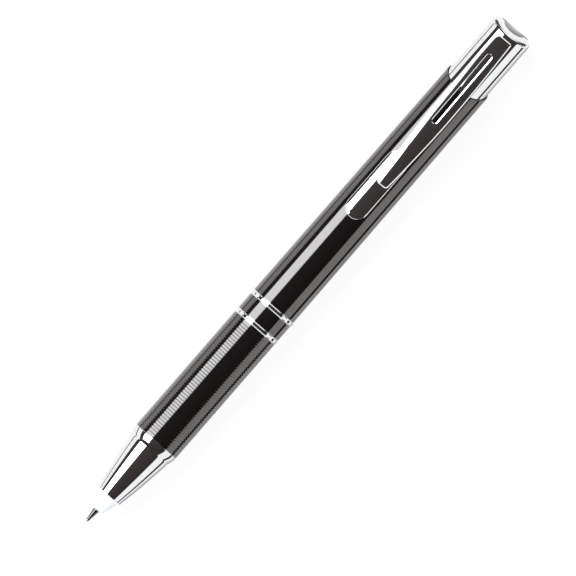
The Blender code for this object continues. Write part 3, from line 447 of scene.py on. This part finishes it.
def add_noise(tree, size, detail):
    """A noise texture in the piece's own coordinates, whose spots are about the given size."""
    place = tree.nodes.new("ShaderNodeTexCoord")
    noise = tree.nodes.new("ShaderNodeTexNoise")
    noise.inputs["Scale"].default_value = 1 / size
    noise.inputs["Detail"].default_value = detail
    tree.links.new(place.outputs["Object"], noise.inputs["Vector"])
    return noise.outputs["Fac"]


def spread(tree, value, low, high, socket):
    """Map a texture's value to a range on a shader socket."""
    fit = tree.nodes.new("ShaderNodeMapRange")
    fit.inputs["From Min"].default_value = NOISE_RANGE[0]
    fit.inputs["From Max"].default_value = NOISE_RANGE[1]
    fit.inputs["To Min"].default_value = low
    fit.inputs["To Max"].default_value = high
    tree.links.new(value, fit.inputs["Value"])
    tree.links.new(fit.outputs["Result"], socket)


def tint(tree, value, dark, light, socket):
    """Blend two colours by a texture's value."""
    blend = tree.nodes.new("ShaderNodeValToRGB")
    for element, position, colour in zip(blend.color_ramp.elements, NOISE_RANGE, (dark, light)):
        element.position = position
        element.color = (*colour, 1.0)
    tree.links.new(value, blend.inputs["Fac"])
    tree.links.new(blend.outputs["Color"], socket)


def add_bump(tree, value, shader, depth):
    """Fine relief of a given depth."""
    bump = tree.nodes.new("ShaderNodeBump")
    bump.inputs["Distance"].default_value = depth
    tree.links.new(value, bump.inputs["Height"])
    tree.links.new(bump.outputs["Normal"], shader.inputs["Normal"])


def surface(name, metallic, dark, light, polish, wear, grain, depth):
    """A metal or plastic whose colour and polish vary a little, with a fine grain."""
    finish, tree, shader = new_finish(name)
    shader.inputs["Metallic"].default_value = metallic
    worn = add_noise(tree, wear, WEAR_DETAIL)
    fine = add_noise(tree, grain, GRAIN_DETAIL)
    tint(tree, worn, dark, light, shader.inputs["Base Color"])
    spread(tree, worn, *polish, shader.inputs["Roughness"])
    add_bump(tree, fine, shader, depth)
    return finish


def glowing(name, colour, strength, spots, rough):
    """A lit plastic, a little uneven."""
    finish, tree, shader = new_finish(name)
    shader.inputs["Base Color"].default_value = (*colour, 1.0)
    shader.inputs["Roughness"].default_value = rough
    shader.inputs["Emission Strength"].default_value = strength
    dim = [GLOW_DIMMED * part for part in colour]
    uneven = add_noise(tree, spots, WEAR_DETAIL)
    tint(tree, uneven, dim, colour, shader.inputs["Emission Color"])
    return finish


SLOTS = {subpart["node"]: subpart["material_slot"] for subpart in frame["record"]["subparts"]}
FINISHES = {slot: surface(*values) for slot, values in SURFACES.items()}
FINISHES.update({slot: glowing(*values) for slot, values in GLOWS.items()})
gunmetal_shader = FINISHES["gunmetal"].node_tree.nodes["Principled BSDF"]
gunmetal_shader.inputs["Coat Weight"].default_value = GUNMETAL_COAT_WEIGHT
gunmetal_shader.inputs["Coat Roughness"].default_value = GUNMETAL_COAT_ROUGHNESS


def finish_nodes():
    """Give every CAD node the finish of its slot."""
    for node, slot in SLOTS.items():
        materials = frame["nodes"][node].data.materials
        materials.clear()
        materials.append(FINISHES[slot])


# Writing end

def build_point():
    """The ball, and the conical point that holds it."""
    tip, _ = span("writing_ball")
    radius = reach("writing_ball")
    profile = []
    for row in range(BALL_ROWS + 1):
        turn = math.pi * row / BALL_ROWS
        profile.append((tip + radius * (1 - math.cos(turn)), radius * math.sin(turn)))
    dress("writing_ball", skin(turned_loops(profile), False))

    front, rear = span("refill_point")
    cone_end = tip + POINT_CONE_LENGTH
    seat = tip + 2 * radius
    profile = rounded([
        (rear, 0.0, 0),
        (rear, POINT_SHANK_RADIUS, POINT_SHANK_ROUND),
        (cone_end, POINT_SHANK_RADIUS, 0),
        (cone_end, reach("refill_point"), POINT_CONE_ROUND),
        (tip + POINT_NECK_LENGTH, POINT_NECK_RADIUS, 0),
        (seat, POINT_LIP_RADIUS, POINT_LIP_ROUND),
        (front, radius + POINT_EDGE, POINT_EDGE_ROUND),
        (front, radius, 0),
        (seat, radius, 0),
        (seat + BALL_SEAT_DEPTH, 0.0, 0),
    ])
    dress("refill_point", skin(turned_loops(profile), False))


def build_lens():
    """The conical lens with its neck in the nose."""
    front, rear = span("lens_tip")
    shoulder = span("nose_cone")[0] - SEAT_GAP
    profile = rounded([
        (rear, LENS_NECK_RADIUS, 0),
        (shoulder, LENS_NECK_RADIUS, 0),
        (shoulder, reach("lens_tip"), LENS_SHOULDER_ROUND),
        (front, LENS_FRONT_RADIUS, LENS_FRONT_ROUND),
        (front, LENS_BORE_FRONT, LENS_BORE_ROUND),
        (shoulder, LENS_BORE_REAR, 0),
        (rear, LENS_BORE_REAR, 0),
    ])
    dress("lens_tip", skin(turned_loops(profile), True))


def build_nose():
    """The nose: a slightly bulging cone, a flare up to the collar, and a stub in the grip."""
    front, rear = span("nose_cone")
    bore_step = front + NOSE_BORE_STEP
    collar = span("grip_barrel")[0] - SEAT_GAP
    flare_start = collar - NOSE_FLARE_LENGTH
    growth = NOSE_REAR_RADIUS - NOSE_FRONT_RADIUS
    # The last corner only aims the front edge along the cone
    profile = rounded([
        (rear, NOSE_STUB_BORE, 0),
        (bore_step, NOSE_STUB_BORE, 0),
        (bore_step, NOSE_BORE, 0),
        (front, NOSE_BORE, NOSE_BORE_ROUND),
        (front, NOSE_FRONT_RADIUS, NOSE_FRONT_ROUND),
        (front + NOSE_AIM_LENGTH, NOSE_FRONT_RADIUS + growth * NOSE_AIM_SHARE, 0),
    ])[:-1]
    for step in range(CONE_STEPS + 1):
        share = NOSE_CONE_FROM + (1 - NOSE_CONE_FROM) * step / CONE_STEPS
        bulge = 4 * NOSE_BULGE * share * (1 - share)
        radius = NOSE_FRONT_RADIUS + growth * share + bulge
        profile.append((front + (flare_start - front) * share, radius))
    for step in range(1, FLARE_STEPS + 1):
        share = step / FLARE_STEPS
        rise = (NOSE_COLLAR_RADIUS - NOSE_REAR_RADIUS) * share * (2 - share)
        profile.append((flare_start + NOSE_FLARE_LENGTH * share, NOSE_REAR_RADIUS + rise))
    profile += [(collar, NOSE_STUB_RADIUS), (rear, NOSE_STUB_RADIUS)]
    dress("nose_cone", skin(turned_loops(profile), True))


def build_springs():
    """Wire coils with closed ends. Those between the barrel and the refill are left fixed where they are
    built.
    """
    for node, (turns, front_radius, rear_radius, wire, far_body) in SPRINGS.items():
        front, rear = span(node)
        steps = round(turns * COIL_STEPS)
        path = []
        sections = []
        for step in range(steps + 1):
            share = step / steps
            angle = 2 * math.pi * turns * share
            station = front + wire + (rear - front - 2 * wire) * smooth_step(share)
            radius = front_radius + (rear_radius - front_radius) * share
            path.append(on_axis(station, radius, angle))
            section = []
            for side in range(WIRE_STEPS):
                turn = 2 * math.pi * side / WIRE_STEPS
                along = wire * math.sin(turn)
                outwards = wire * math.cos(turn)
                section.append(on_axis(station + along, radius + outwards, angle))
            sections.append(section)
        dress(node, skin([path[:1], *sections, path[-1:]], False), far_body=far_body)


# Barrels

def build_grip():
    """The front barrel with its turned grooves."""
    front, rear = span("grip_barrel")
    ribs = int((rear - front - 2 * RIB_MARGIN) / RIB_PITCH)
    first = (front + rear - ribs * RIB_PITCH) / 2
    profile = [(rear, BARREL_BORE), (front, BARREL_BORE), (front, BARREL_RADIUS - SEAT_GAP)]
    profile.append((front + SEAT_GAP, BARREL_RADIUS))
    for rib in range(ribs + 1):
        middle = first + rib * RIB_PITCH
        for step in range(GROOVE_STEPS + 1):
            share = step / GROOVE_STEPS
            depth = GROOVE_DEPTH * math.sin(math.pi * share) ** 2
            profile.append((middle + GROOVE_WIDTH * (share - 0.5), BARREL_RADIUS - depth))
    profile += [(rear - BARREL_CHAMFER, BARREL_AT_RING), (rear, BARREL_AT_RING - BARREL_CHAMFER)]
    dress("grip_barrel", skin(turned_loops(profile), True))


def build_rings():
    """The two chamfered rings, and the band between them."""
    bevel, drop = RING_CHAMFER
    for node in ("lower_ring", "upper_ring"):
        front, rear = span(node)
        outer = reach(node)
        seat = outer - SEAT_DEPTH
        profile = [
            (rear + SEAT_GAP, BARREL_BORE),
            (front - SEAT_GAP, BARREL_BORE),
            (front - SEAT_GAP, seat),
            (front, seat),
            (front, outer - drop),
            (front + bevel, outer),
            (rear - bevel, outer),
            (rear, outer - drop),
            (rear, seat),
            (rear + SEAT_GAP, seat),
        ]
        dress(node, skin(turned_loops(profile), True), RING_SHARP_ANGLE)

    front, rear = span("centre_band")
    profile = rounded([
        (rear, BARREL_BORE, 0),
        (front, BARREL_BORE, 0),
        (front, BARREL_AT_RING, BARREL_CHAMFER),
        (rear, BARREL_AT_RING, BARREL_CHAMFER),
    ])
    dress("centre_band", skin(turned_loops(profile), True))


def build_upper_barrel():
    """The rear barrel, which tapers to a slanted mouth."""
    front, rear = span("upper_barrel")
    top = rear - BARREL_TOP_RADIUS * math.tan(BARREL_SLANT)
    mouth = span("plunger_cap")[0] - MOUTH_AHEAD
    profile = rounded([
        (top, MOUTH_BORE, BARREL_EDGE),
        (mouth, MOUTH_BORE, 0),
        (mouth, BARREL_BORE, 0),
        (front, BARREL_BORE, 0),
        (front, BARREL_AT_RING, BARREL_CHAMFER),
        (top, BARREL_TOP_RADIUS, BARREL_EDGE),
    ])
    dress("upper_barrel", skin(turned_loops(profile, BARREL_SLANT, mouth), True))


def racetrack(front, rear, width, inwards):
    """Points of an outline with round ends, moved inwards, as (station, across)."""
    radius = width / 2 - inwards
    points = []
    for centre, start in ((rear - width / 2, -math.pi / 2), (front + width / 2, math.pi / 2)):
        for step in range(PLATE_END_STEPS + 1):
            angle = start + math.pi * step / PLATE_END_STEPS
            points.append((centre + radius * math.cos(angle), radius * math.sin(angle)))
    return points


def build_guide_plate():
    """The bevelled plate on the barrel under the clip's tip."""
    front, rear = span("guide_plate")
    width = 2 * reach("guide_plate")
    barrel_front, barrel_rear = span("upper_barrel")
    half = width / 2
    flat = half / 2
    top = PLATE_LIFT + PLATE_HEIGHT
    bevel, drop = PLATE_BEVEL

    def lay(inwards, lift):
        """A loop over the tapering barrel, drawn in and more bevelled on one side."""
        loop = []
        for station, across in racetrack(front, rear, width, inwards):
            along = (station - front) / (rear - front)
            steeper = PLATE_STEEPER[0] + (PLATE_STEEPER[1] - PLATE_STEEPER[0]) * along
            fall = min(top - lift, drop) * steeper * smooth_step(-across / half)
            if across < 0:
                across *= 1 - PLATE_DRAW_IN[0] - (PLATE_DRAW_IN[1] - PLATE_DRAW_IN[0]) * along
            share = (station - barrel_front) / (barrel_rear - barrel_front)
            radius = BARREL_RADIUS + (BARREL_TOP_RADIUS - BARREL_RADIUS) * share + lift - fall
            loop.append((station, across, AXIS_Z + math.sqrt(radius ** 2 - across ** 2)))
        return loop

    loops = [
        lay(half * step / PLATE_INNER_STEPS, PLATE_LIFT) for step in range(PLATE_INNER_STEPS, 0, -1)
    ]
    edge = rounded([
        (0.0, PLATE_LIFT, 0),
        (0.0, top - drop - PLATE_LIP, PLATE_LIP_ROUND),
        (PLATE_LIP, top - drop, PLATE_LIP_ROUND),
        (PLATE_LIP + bevel, top, PLATE_BEVEL_ROUND),
        (flat, top, 0),
    ])
    loops += [lay(inwards, lift) for inwards, lift in edge]
    for step in range(1, PLATE_INNER_STEPS + 1):
        loops.append(lay(flat + (half - flat) * step / PLATE_INNER_STEPS, top))
    dress("guide_plate", skin(loops, False))


# Push button

def build_cap():
    """The push button, whose round rim and thumb dish follow its slanted end."""
    front, rear = span("plunger_cap")
    fall = math.tan(CAP_SLANT)
    rim_centre = CAP_RADIUS - CAP_RIM_ROUND
    top = rear + fall * (math.hypot(rim_centre, CAP_SLANT_BLEND) - rim_centre) / 2
    bore_end = top - CAP_TOP_THICKNESS
    dish_radius = rim_centre - DISH_MARGIN

    def end(height):
        """Station of the end surface, which slants back above the axis, towards the clip."""
        return top - fall * (height + math.hypot(height, CAP_SLANT_BLEND)) / 2

    def column(angle):
        """Stations and radii from the bore's end round the wall and the rim into the thumb dish."""
        up = math.cos(angle)
        height = rim_centre * up
        tilt = math.atan(fall * (1 + height / math.hypot(height, CAP_SLANT_BLEND)) / 2 * up)
        rim_edge = rim_centre + CAP_RIM_ROUND * math.sin(tilt)
        rim_station = end(rim_edge * up) - CAP_RIM_ROUND * math.cos(tilt)
        points = [(bore_end, CAP_BORE), (front, CAP_BORE), (front, CAP_RADIUS)]
        for step in range(RIM_STEPS + 1):
            turn = (math.pi / 2 - tilt) * step / RIM_STEPS
            radius = rim_centre + CAP_RIM_ROUND * math.cos(turn)
            points.append((rim_station + CAP_RIM_ROUND * math.sin(turn), radius))
        for step in range(1, FLAT_STEPS):
            radius = rim_edge + (dish_radius + DISH_LIP - rim_edge) * step / FLAT_STEPS
            points.append((end(radius * up), radius))
        for step in range(LIP_STEPS):
            share = step / LIP_STEPS
            radius = dish_radius + DISH_LIP * (1 - share)
            points.append((end(radius * up) - DISH_LIP_DROP * share * share, radius))
        for step in range(BOWL_STEPS):
            share = 1 - step / BOWL_STEPS
            radius = dish_radius * share
            sink = DISH_LIP_DROP + (DISH_DEPTH - DISH_LIP_DROP) * (1 - share * share)
            points.append((end(radius * up) - sink, radius))
        return points

    angles = [2 * math.pi * step / STEPS for step in range(STEPS)]
    columns = [column(angle) for angle in angles]
    loops = [[on_axis(bore_end, 0.0, 0.0)]]
    for level in zip(*columns):
        loops.append([on_axis(*point, angle) for angle, point in zip(angles, level)])
    loops.append([on_axis(end(0.0) - DISH_DEPTH, 0.0, 0.0)])
    dress("plunger_cap", skin(loops, False))


# Pocket clip, measured from its root towards its tip

def clip_underside(reached):
    """Height of the clip's underside above the pen's axis."""
    dip_start = CLIP_FOOT_LENGTH + CLIP_RISE_LENGTH + CLIP_FLAT_LENGTH
    dip_length = CLIP_LENGTH - dip_start - CLIP_UPTURN_LENGTH
    rise = smooth_step((reached - CLIP_FOOT_LENGTH) / CLIP_RISE_LENGTH)
    dip = smooth_step((reached - dip_start) / dip_length)
    upturn = max(0.0, 1 - (CLIP_LENGTH - reached) / CLIP_UPTURN_LENGTH)
    height = CLIP_FOOT_HEIGHT + (CLIP_TOP_HEIGHT - CLIP_FOOT_HEIGHT) * rise
    return height + (CLIP_TIP_HEIGHT - CLIP_TOP_HEIGHT) * dip + CLIP_UPTURN * upturn ** 2


def clip_half_width(reached):
    """Half the clip's width before its tip is rounded off."""
    if reached < CLIP_WIDEST:
        ease = math.sin(math.pi / 2 * reached / CLIP_WIDEST)
        return (CLIP_ROOT_WIDTH + (CLIP_WIDTH - CLIP_ROOT_WIDTH) * ease) / 2
    share = (reached - CLIP_WIDEST) / (CLIP_LENGTH - CLIP_WIDEST)
    return (CLIP_WIDTH + (CLIP_TIP_WIDTH - CLIP_WIDTH) * share ** CLIP_TAPER_POWER) / 2


def clip_top(reached, across):
    """Height of the crowned top above the pen's axis."""
    half = clip_half_width(reached)
    start, end = CLIP_CROWN_SPAN
    share = CLIP_CROWN_SHARE + CLIP_CROWN_GAIN * smooth_step((reached - start) / (end - start))
    share += CLIP_ROOT_CROWN * max(0.0, 1 - reached / CLIP_ROOT_SPAN) ** 2
    crown = share * half * (1 - (across / half) ** 2)
    return clip_underside(reached) + CLIP_EDGE + crown


def half_outline():
    """One side of the clip's outline from the middle of its root to its tip, in three stretches."""
    root_half = clip_half_width(0.0)
    root = []
    for step in range(CLIP_ROOT_STEPS):
        root.append((0.0, (root_half - CLIP_CORNER) * step / CLIP_ROOT_STEPS))
    for step in range(CLIP_ROOT_STEPS):
        turn = math.pi / 2 * step / CLIP_ROOT_STEPS
        across = root_half - CLIP_CORNER * (1 - math.sin(turn))
        root.append((CLIP_CORNER * (1 - math.cos(turn)), across))
    slot_end = CLIP_SLOT_INSET + CLIP_SLOT_LENGTH
    side = []
    for step in range(CLIP_SIDE_STEPS):
        reached = CLIP_CORNER + (slot_end - CLIP_CORNER) * step / CLIP_SIDE_STEPS
        side.append((reached, clip_half_width(reached)))
    tip_start = CLIP_LENGTH - CLIP_TIP_CORNER
    tip_half = clip_half_width(tip_start)
    tip = []
    for step in range(CLIP_TAPER_STEPS):
        reached = slot_end + (tip_start - slot_end) * step / CLIP_TAPER_STEPS
        tip.append((reached, clip_half_width(reached)))
    for step in range(CLIP_TIP_STEPS):
        turn = math.pi / 2 * step / CLIP_TIP_STEPS
        across = tip_half - CLIP_TIP_CORNER * (1 - math.cos(turn))
        tip.append((tip_start + CLIP_TIP_CORNER * math.sin(turn), across))
    for step in range(CLIP_END_STEPS + 1):
        tip.append((CLIP_LENGTH, (tip_half - CLIP_TIP_CORNER) * (1 - step / CLIP_END_STEPS)))
    return root, side, tip


def half_slot(stretches, width, trim):
    """One side of a slot's outline, with as many points in each stretch as the clip's outline."""
    radius = width / 2
    near = CLIP_SLOT_INSET + trim + radius
    far = CLIP_SLOT_INSET + CLIP_SLOT_LENGTH - trim - radius
    root_count, side_count, tip_count = (len(stretch) for stretch in stretches)
    points = []
    for step in range(root_count):
        turn = math.pi / 2 * step / root_count
        points.append((near - radius * math.cos(turn), radius * math.sin(turn)))
    for step in range(side_count):
        points.append((near + (far - near) * step / side_count, radius))
    for step in range(tip_count):
        turn = math.pi / 2 * step / (tip_count - 1)
        points.append((far + radius * math.sin(turn), radius * math.cos(turn)))
    return points


def whole(half):
    """Close a half outline with its mirror image."""
    return half + [(reached, -across) for reached, across in half[-2:0:-1]]


def inset(outline, amount):
    """Move the clip's outline inwards by an amount, along its own normals."""
    moved = []
    count = len(outline)
    for number, (reached, across) in enumerate(outline):
        before = outline[number - 1]
        after = outline[(number + 1) % count]
        along = Vector((after[0] - before[0], after[1] - before[1])).normalized()
        moved.append((reached + along.y * amount, across - along.x * amount))
    return moved


def between(first, second, share):
    """The point at a share of the way from one point of an outline to another."""
    return first[0] + (second[0] - first[0]) * share, first[1] + (second[1] - first[1]) * share


def build_clip():
    """The pocket clip with its bevelled slot, and the lug that holds it."""
    _, rear = span("pocket_clip")
    root = rear - CLIP_ROOT_WIDTH / 2 * math.sin(CLIP_LEAN)
    pivot = root - LUG_INSET

    def lay(reached, across, height):
        """A point of the clip in the pen, with the clip's lean about its lug."""
        along = root - reached - pivot
        station = pivot + along * math.cos(CLIP_LEAN) + across * math.sin(CLIP_LEAN)
        side = across * math.cos(CLIP_LEAN) - along * math.sin(CLIP_LEAN)
        return station, -side, AXIS_Z + height

    def bevel(lows, highs, drop):
        """Loops that climb by the drop from one outline to another on the crowned top."""
        heights = [clip_top(*point) for point in highs]
        loops = []
        for share in BEVEL_SHARES:
            loop = []
            for low, high, height in zip(lows, highs, heights):
                loop.append(lay(*between(low, high, share), height - drop * (1 - share)))
            loops.append(loop)
        return loops

    stretches = half_outline()
    outline = whole([point for stretch in stretches for point in stretch])
    mouth = whole(half_slot(stretches, CLIP_SLOT_WIDTH, 0.0))
    hole = whole(half_slot(stretches, CLIP_HOLE_WIDTH, CLIP_HOLE_TRIM))
    hole = [(reached, across + CLIP_HOLE_SHIFT) for reached, across in hole]
    chamfer, chamfer_drop = CLIP_CHAMFER
    brink = inset(outline, chamfer)
    under = inset(outline, SEAT_GAP)

    # Slot's wall and bevelled mouth
    loops = [[lay(*point, clip_underside(point[0])) for point in hole]]
    loops += bevel(hole, mouth, CLIP_SLOT_DROP)

    # Crowned top, from the slot out to the edge
    for step in range(1, CLIP_TOP_STEPS):
        points = [between(near, far, step / CLIP_TOP_STEPS) for near, far in zip(mouth, brink)]
        loops.append([lay(*point, clip_top(*point)) for point in points])

    # Chamfered edge and side
    loops += reversed(bevel(outline, brink, chamfer_drop))
    loops.append([lay(*point, clip_underside(point[0]) + SEAT_GAP) for point in outline])

    # Flat underside, from the edge back to the slot
    for step in range(CLIP_UNDER_STEPS):
        points = [between(far, near, step / CLIP_UNDER_STEPS) for far, near in zip(under, hole)]
        loops.append([lay(*point, clip_underside(point[0])) for point in points])
    solid = skin(loops, True)

    # Lug that goes through the button's wall
    half_length, half_width = (size / 2 for size in LUG_SIZE)
    near = LUG_INSET - half_length
    far = LUG_INSET + half_length
    corners = [(far, half_width), (far, -half_width), (near, -half_width), (near, half_width)]
    lug = []
    for height in (CLIP_FOOT_HEIGHT - LUG_DEPTH, CLIP_FOOT_HEIGHT + CLIP_EDGE / 2):
        lug.append([solid.verts.new(lay(*corner, height)) for corner in corners])
    for number in range(len(corners)):
        after = (number + 1) % len(corners)
        solid.faces.new((lug[0][number], lug[0][after], lug[1][after], lug[1][number]))
    solid.faces.new(lug[0])
    solid.faces.new(lug[1])
    dress("pocket_clip", solid)


# Studio

def math_node(tree, operation, first, second):
    """The result of an operation on two numbers or sockets."""
    node = tree.nodes.new("ShaderNodeMath")
    node.operation = operation
    for socket, value in zip(node.inputs, (first, second)):
        if isinstance(value, (int, float)):
            socket.default_value = value
        else:
            tree.links.new(value, socket)
    return node.outputs[0]


def add_bands(tree, angle, bands):
    """Colours over the angle across the pen, from a list of (degrees, colour)."""
    position = math_node(tree, "ADD", math_node(tree, "DIVIDE", angle, math.pi), 0.5)
    ramp = tree.nodes.new("ShaderNodeValToRGB")
    elements = ramp.color_ramp.elements
    while len(elements) < len(bands):
        elements.new(0.5)
    for element, (degrees, colour) in zip(elements, bands):
        element.position = degrees / 180 + 0.5
        element.color = (*(part / max(STRIP_LIGHT) for part in colour), 1.0)
    tree.links.new(position, ramp.inputs["Fac"])
    return ramp.outputs["Color"]


def fade_beyond(tree, value, limit, first, second):
    """Change from one colour to another where a value passes a limit."""
    share = tree.nodes.new("ShaderNodeMapRange")
    share.interpolation_type = "SMOOTHSTEP"
    share.inputs["From Min"].default_value = limit
    share.inputs["From Max"].default_value = limit + REACH_BLUR
    tree.links.new(value, share.inputs["Value"])
    blend = tree.nodes.new("ShaderNodeMix")
    blend.data_type = "RGBA"
    tree.links.new(share.outputs["Result"], blend.inputs["Factor"])
    tree.links.new(first, blend.inputs[MIX_FIRST])
    tree.links.new(second, blend.inputs[MIX_SECOND])
    return blend.outputs[MIX_RESULT]


def build_world():
    """A soft tent of bands that run along the pen, pale at its two ends and down at the horizon."""
    world = bpy.data.worlds.new("studio")
    world.use_nodes = True
    bpy.context.scene.world = world
    tree = world.node_tree
    tree.nodes.clear()
    place = tree.nodes.new("ShaderNodeTexCoord")
    parts = tree.nodes.new("ShaderNodeSeparateXYZ")
    tree.links.new(place.outputs["Generated"], parts.inputs[0])
    across = math_node(tree, "MULTIPLY", parts.outputs["Y"], -1.0)
    from_top = math_node(tree, "ARCTAN2", across, parts.outputs["Z"])
    angle = math_node(tree, "SUBTRACT", from_top, CAMERA_ROLL)
    to_button = parts.outputs["X"]
    to_point = math_node(tree, "MULTIPLY", to_button, -1.0)
    to_end = math_node(tree, "MAXIMUM", to_point, to_button)
    left_card = [
        (-HORIZON, CARD_LIGHT),
        (LEFT_CARD_EDGE - EDGE_BLUR, CARD_LIGHT),
        (LEFT_CARD_EDGE, DARK_LIGHT),
    ]
    strip = [
        (STRIP_EDGES[0] - EDGE_BLUR - STRIP_FADE, DARK_LIGHT),
        (STRIP_EDGES[0] - EDGE_BLUR, CARD_LIGHT),
        (STRIP_EDGES[0], STRIP_LIGHT),
        (STRIP_EDGES[1], STRIP_LIGHT),
        (STRIP_EDGES[1] + EDGE_BLUR, CARD_LIGHT),
        (STRIP_EDGES[1] + EDGE_BLUR + STRIP_FADE, DARK_BY_STRIP),
    ]
    right_card = [
        (RIGHT_CARD_EDGE, DARK_BY_CARD),
        (RIGHT_CARD_EDGE + EDGE_BLUR, CARD_LIGHT),
        (HORIZON, CARD_LIGHT),
    ]
    lit = add_bands(tree, angle, left_card + strip + right_card)
    unlit = add_bands(tree, angle, left_card + right_card)
    dark = add_bands(tree, angle, [(-HORIZON, DARK_LIGHT), (HORIZON, DARK_LIGHT)])
    pale = add_bands(tree, angle, [(-HORIZON, CARD_LIGHT), (HORIZON, CARD_LIGHT)])
    colour = fade_beyond(tree, to_point, STRIP_REACH, lit, unlit)
    colour = fade_beyond(tree, to_button, DARK_CARD_REACH, colour, dark)
    colour = fade_beyond(tree, to_end, PALE_REACH, colour, pale)
    studio = tree.nodes.new("ShaderNodeBackground")
    studio.inputs["Strength"].default_value = max(STRIP_LIGHT)
    output = tree.nodes.new("ShaderNodeOutputWorld")
    tree.links.new(colour, studio.inputs["Color"])
    tree.links.new(studio.outputs[0], output.inputs["Surface"])


def flat_piece(name, low, high, height, finish):
    """A level rectangle of the stage."""
    mesh = bpy.data.meshes.new(name)
    corners = [(low[0], low[1]), (high[0], low[1]), (high[0], high[1]), (low[0], high[1])]
    mesh.from_pydata([(x, y, height) for x, y in corners], [], [(0, 1, 2, 3)])
    mesh.materials.append(finish)
    piece = bpy.data.objects.new(name, mesh)
    bpy.context.scene.collection.objects.link(piece)
    return piece


def build_floor():
    """A white floor that glows for the eye and for reflections, and keeps the pen's shadow."""
    finish, tree, shader = new_finish("floor_white")
    shader.inputs["Base Color"].default_value = FLOOR_COLOUR
    shader.inputs["Roughness"].default_value = 1.0
    shader.inputs["Specular IOR Level"].default_value = 0.0
    shader.inputs["Emission Color"].default_value = WHITE
    rays = tree.nodes.new("ShaderNodeLightPath").outputs
    mirrored = math_node(tree, "MAXIMUM", rays["Is Glossy Ray"], rays["Is Transmission Ray"])
    seen = math_node(tree, "MAXIMUM", rays["Is Camera Ray"], mirrored)
    glow = math_node(tree, "MULTIPLY", seen, FLOOR_GLOW)
    tree.links.new(glow, shader.inputs["Emission Strength"])
    half = FLOOR_SIZE / 2
    flat_piece("floor", (-half, -half), (half, half), 0.0, finish)


def build_painted_dark():
    """The dark sheets that only show in the metal, which paint its thin dark lines and the floor's shade
    near the pen.
    """
    for number, (low, high, axis, first, last) in enumerate(PAINTED_DARK_SHEETS, 1):
        finish, tree, shader = new_finish(f"painted_dark_reflection_{number}")
        shader.inputs["Base Color"].default_value = PAINTED_DARK_COLOUR
        shader.inputs["Roughness"].default_value = 1.0
        place = tree.nodes.new("ShaderNodeTexCoord")
        parts = tree.nodes.new("ShaderNodeSeparateXYZ")
        tree.links.new(place.outputs["Generated"], parts.inputs[0])
        fade = tree.nodes.new("ShaderNodeMapRange")
        fade.inputs["To Min"].default_value = first
        fade.inputs["To Max"].default_value = last
        tree.links.new(parts.outputs[axis], fade.inputs["Value"])
        tree.links.new(fade.outputs["Result"], shader.inputs["Alpha"])
        # Painted dark reflections: hidden from the camera, from diffuse light and from shadows
        painted_dark_sheet = flat_piece(f"flag_{number}", low, high, PAINTED_DARK_HEIGHT, finish)
        painted_dark_sheet.visible_camera = False
        painted_dark_sheet.visible_diffuse = False
        painted_dark_sheet.visible_shadow = False


def build_camera():
    """A camera far above the pen, with a narrow view."""
    data = bpy.data.cameras.new("camera")
    data.sensor_width = SENSOR_WIDTH
    data.lens = SENSOR_WIDTH * CAMERA_HEIGHT / FRAME_WIDTH
    camera = bpy.data.objects.new("camera", data)
    lean = Matrix.Translation((0.0, 0.0, AXIS_Z)) @ Matrix.Rotation(CAMERA_ROLL, 4, "X")
    place = Matrix.Translation((*CAMERA_OFFSET, CAMERA_HEIGHT)) @ Matrix.Rotation(-PEN_TILT, 4, "Z")
    camera.matrix_world = lean @ place
    bpy.context.scene.collection.objects.link(camera)
    bpy.context.scene.camera = camera


build_camera()
finish_nodes()
build_point()
build_lens()
build_nose()
build_springs()
build_grip()
build_rings()
build_upper_barrel()
build_guide_plate()
build_cap()
build_clip()
build_world()
build_floor()
build_painted_dark()
bpy.context.scene.view_settings.view_transform = "Standard"
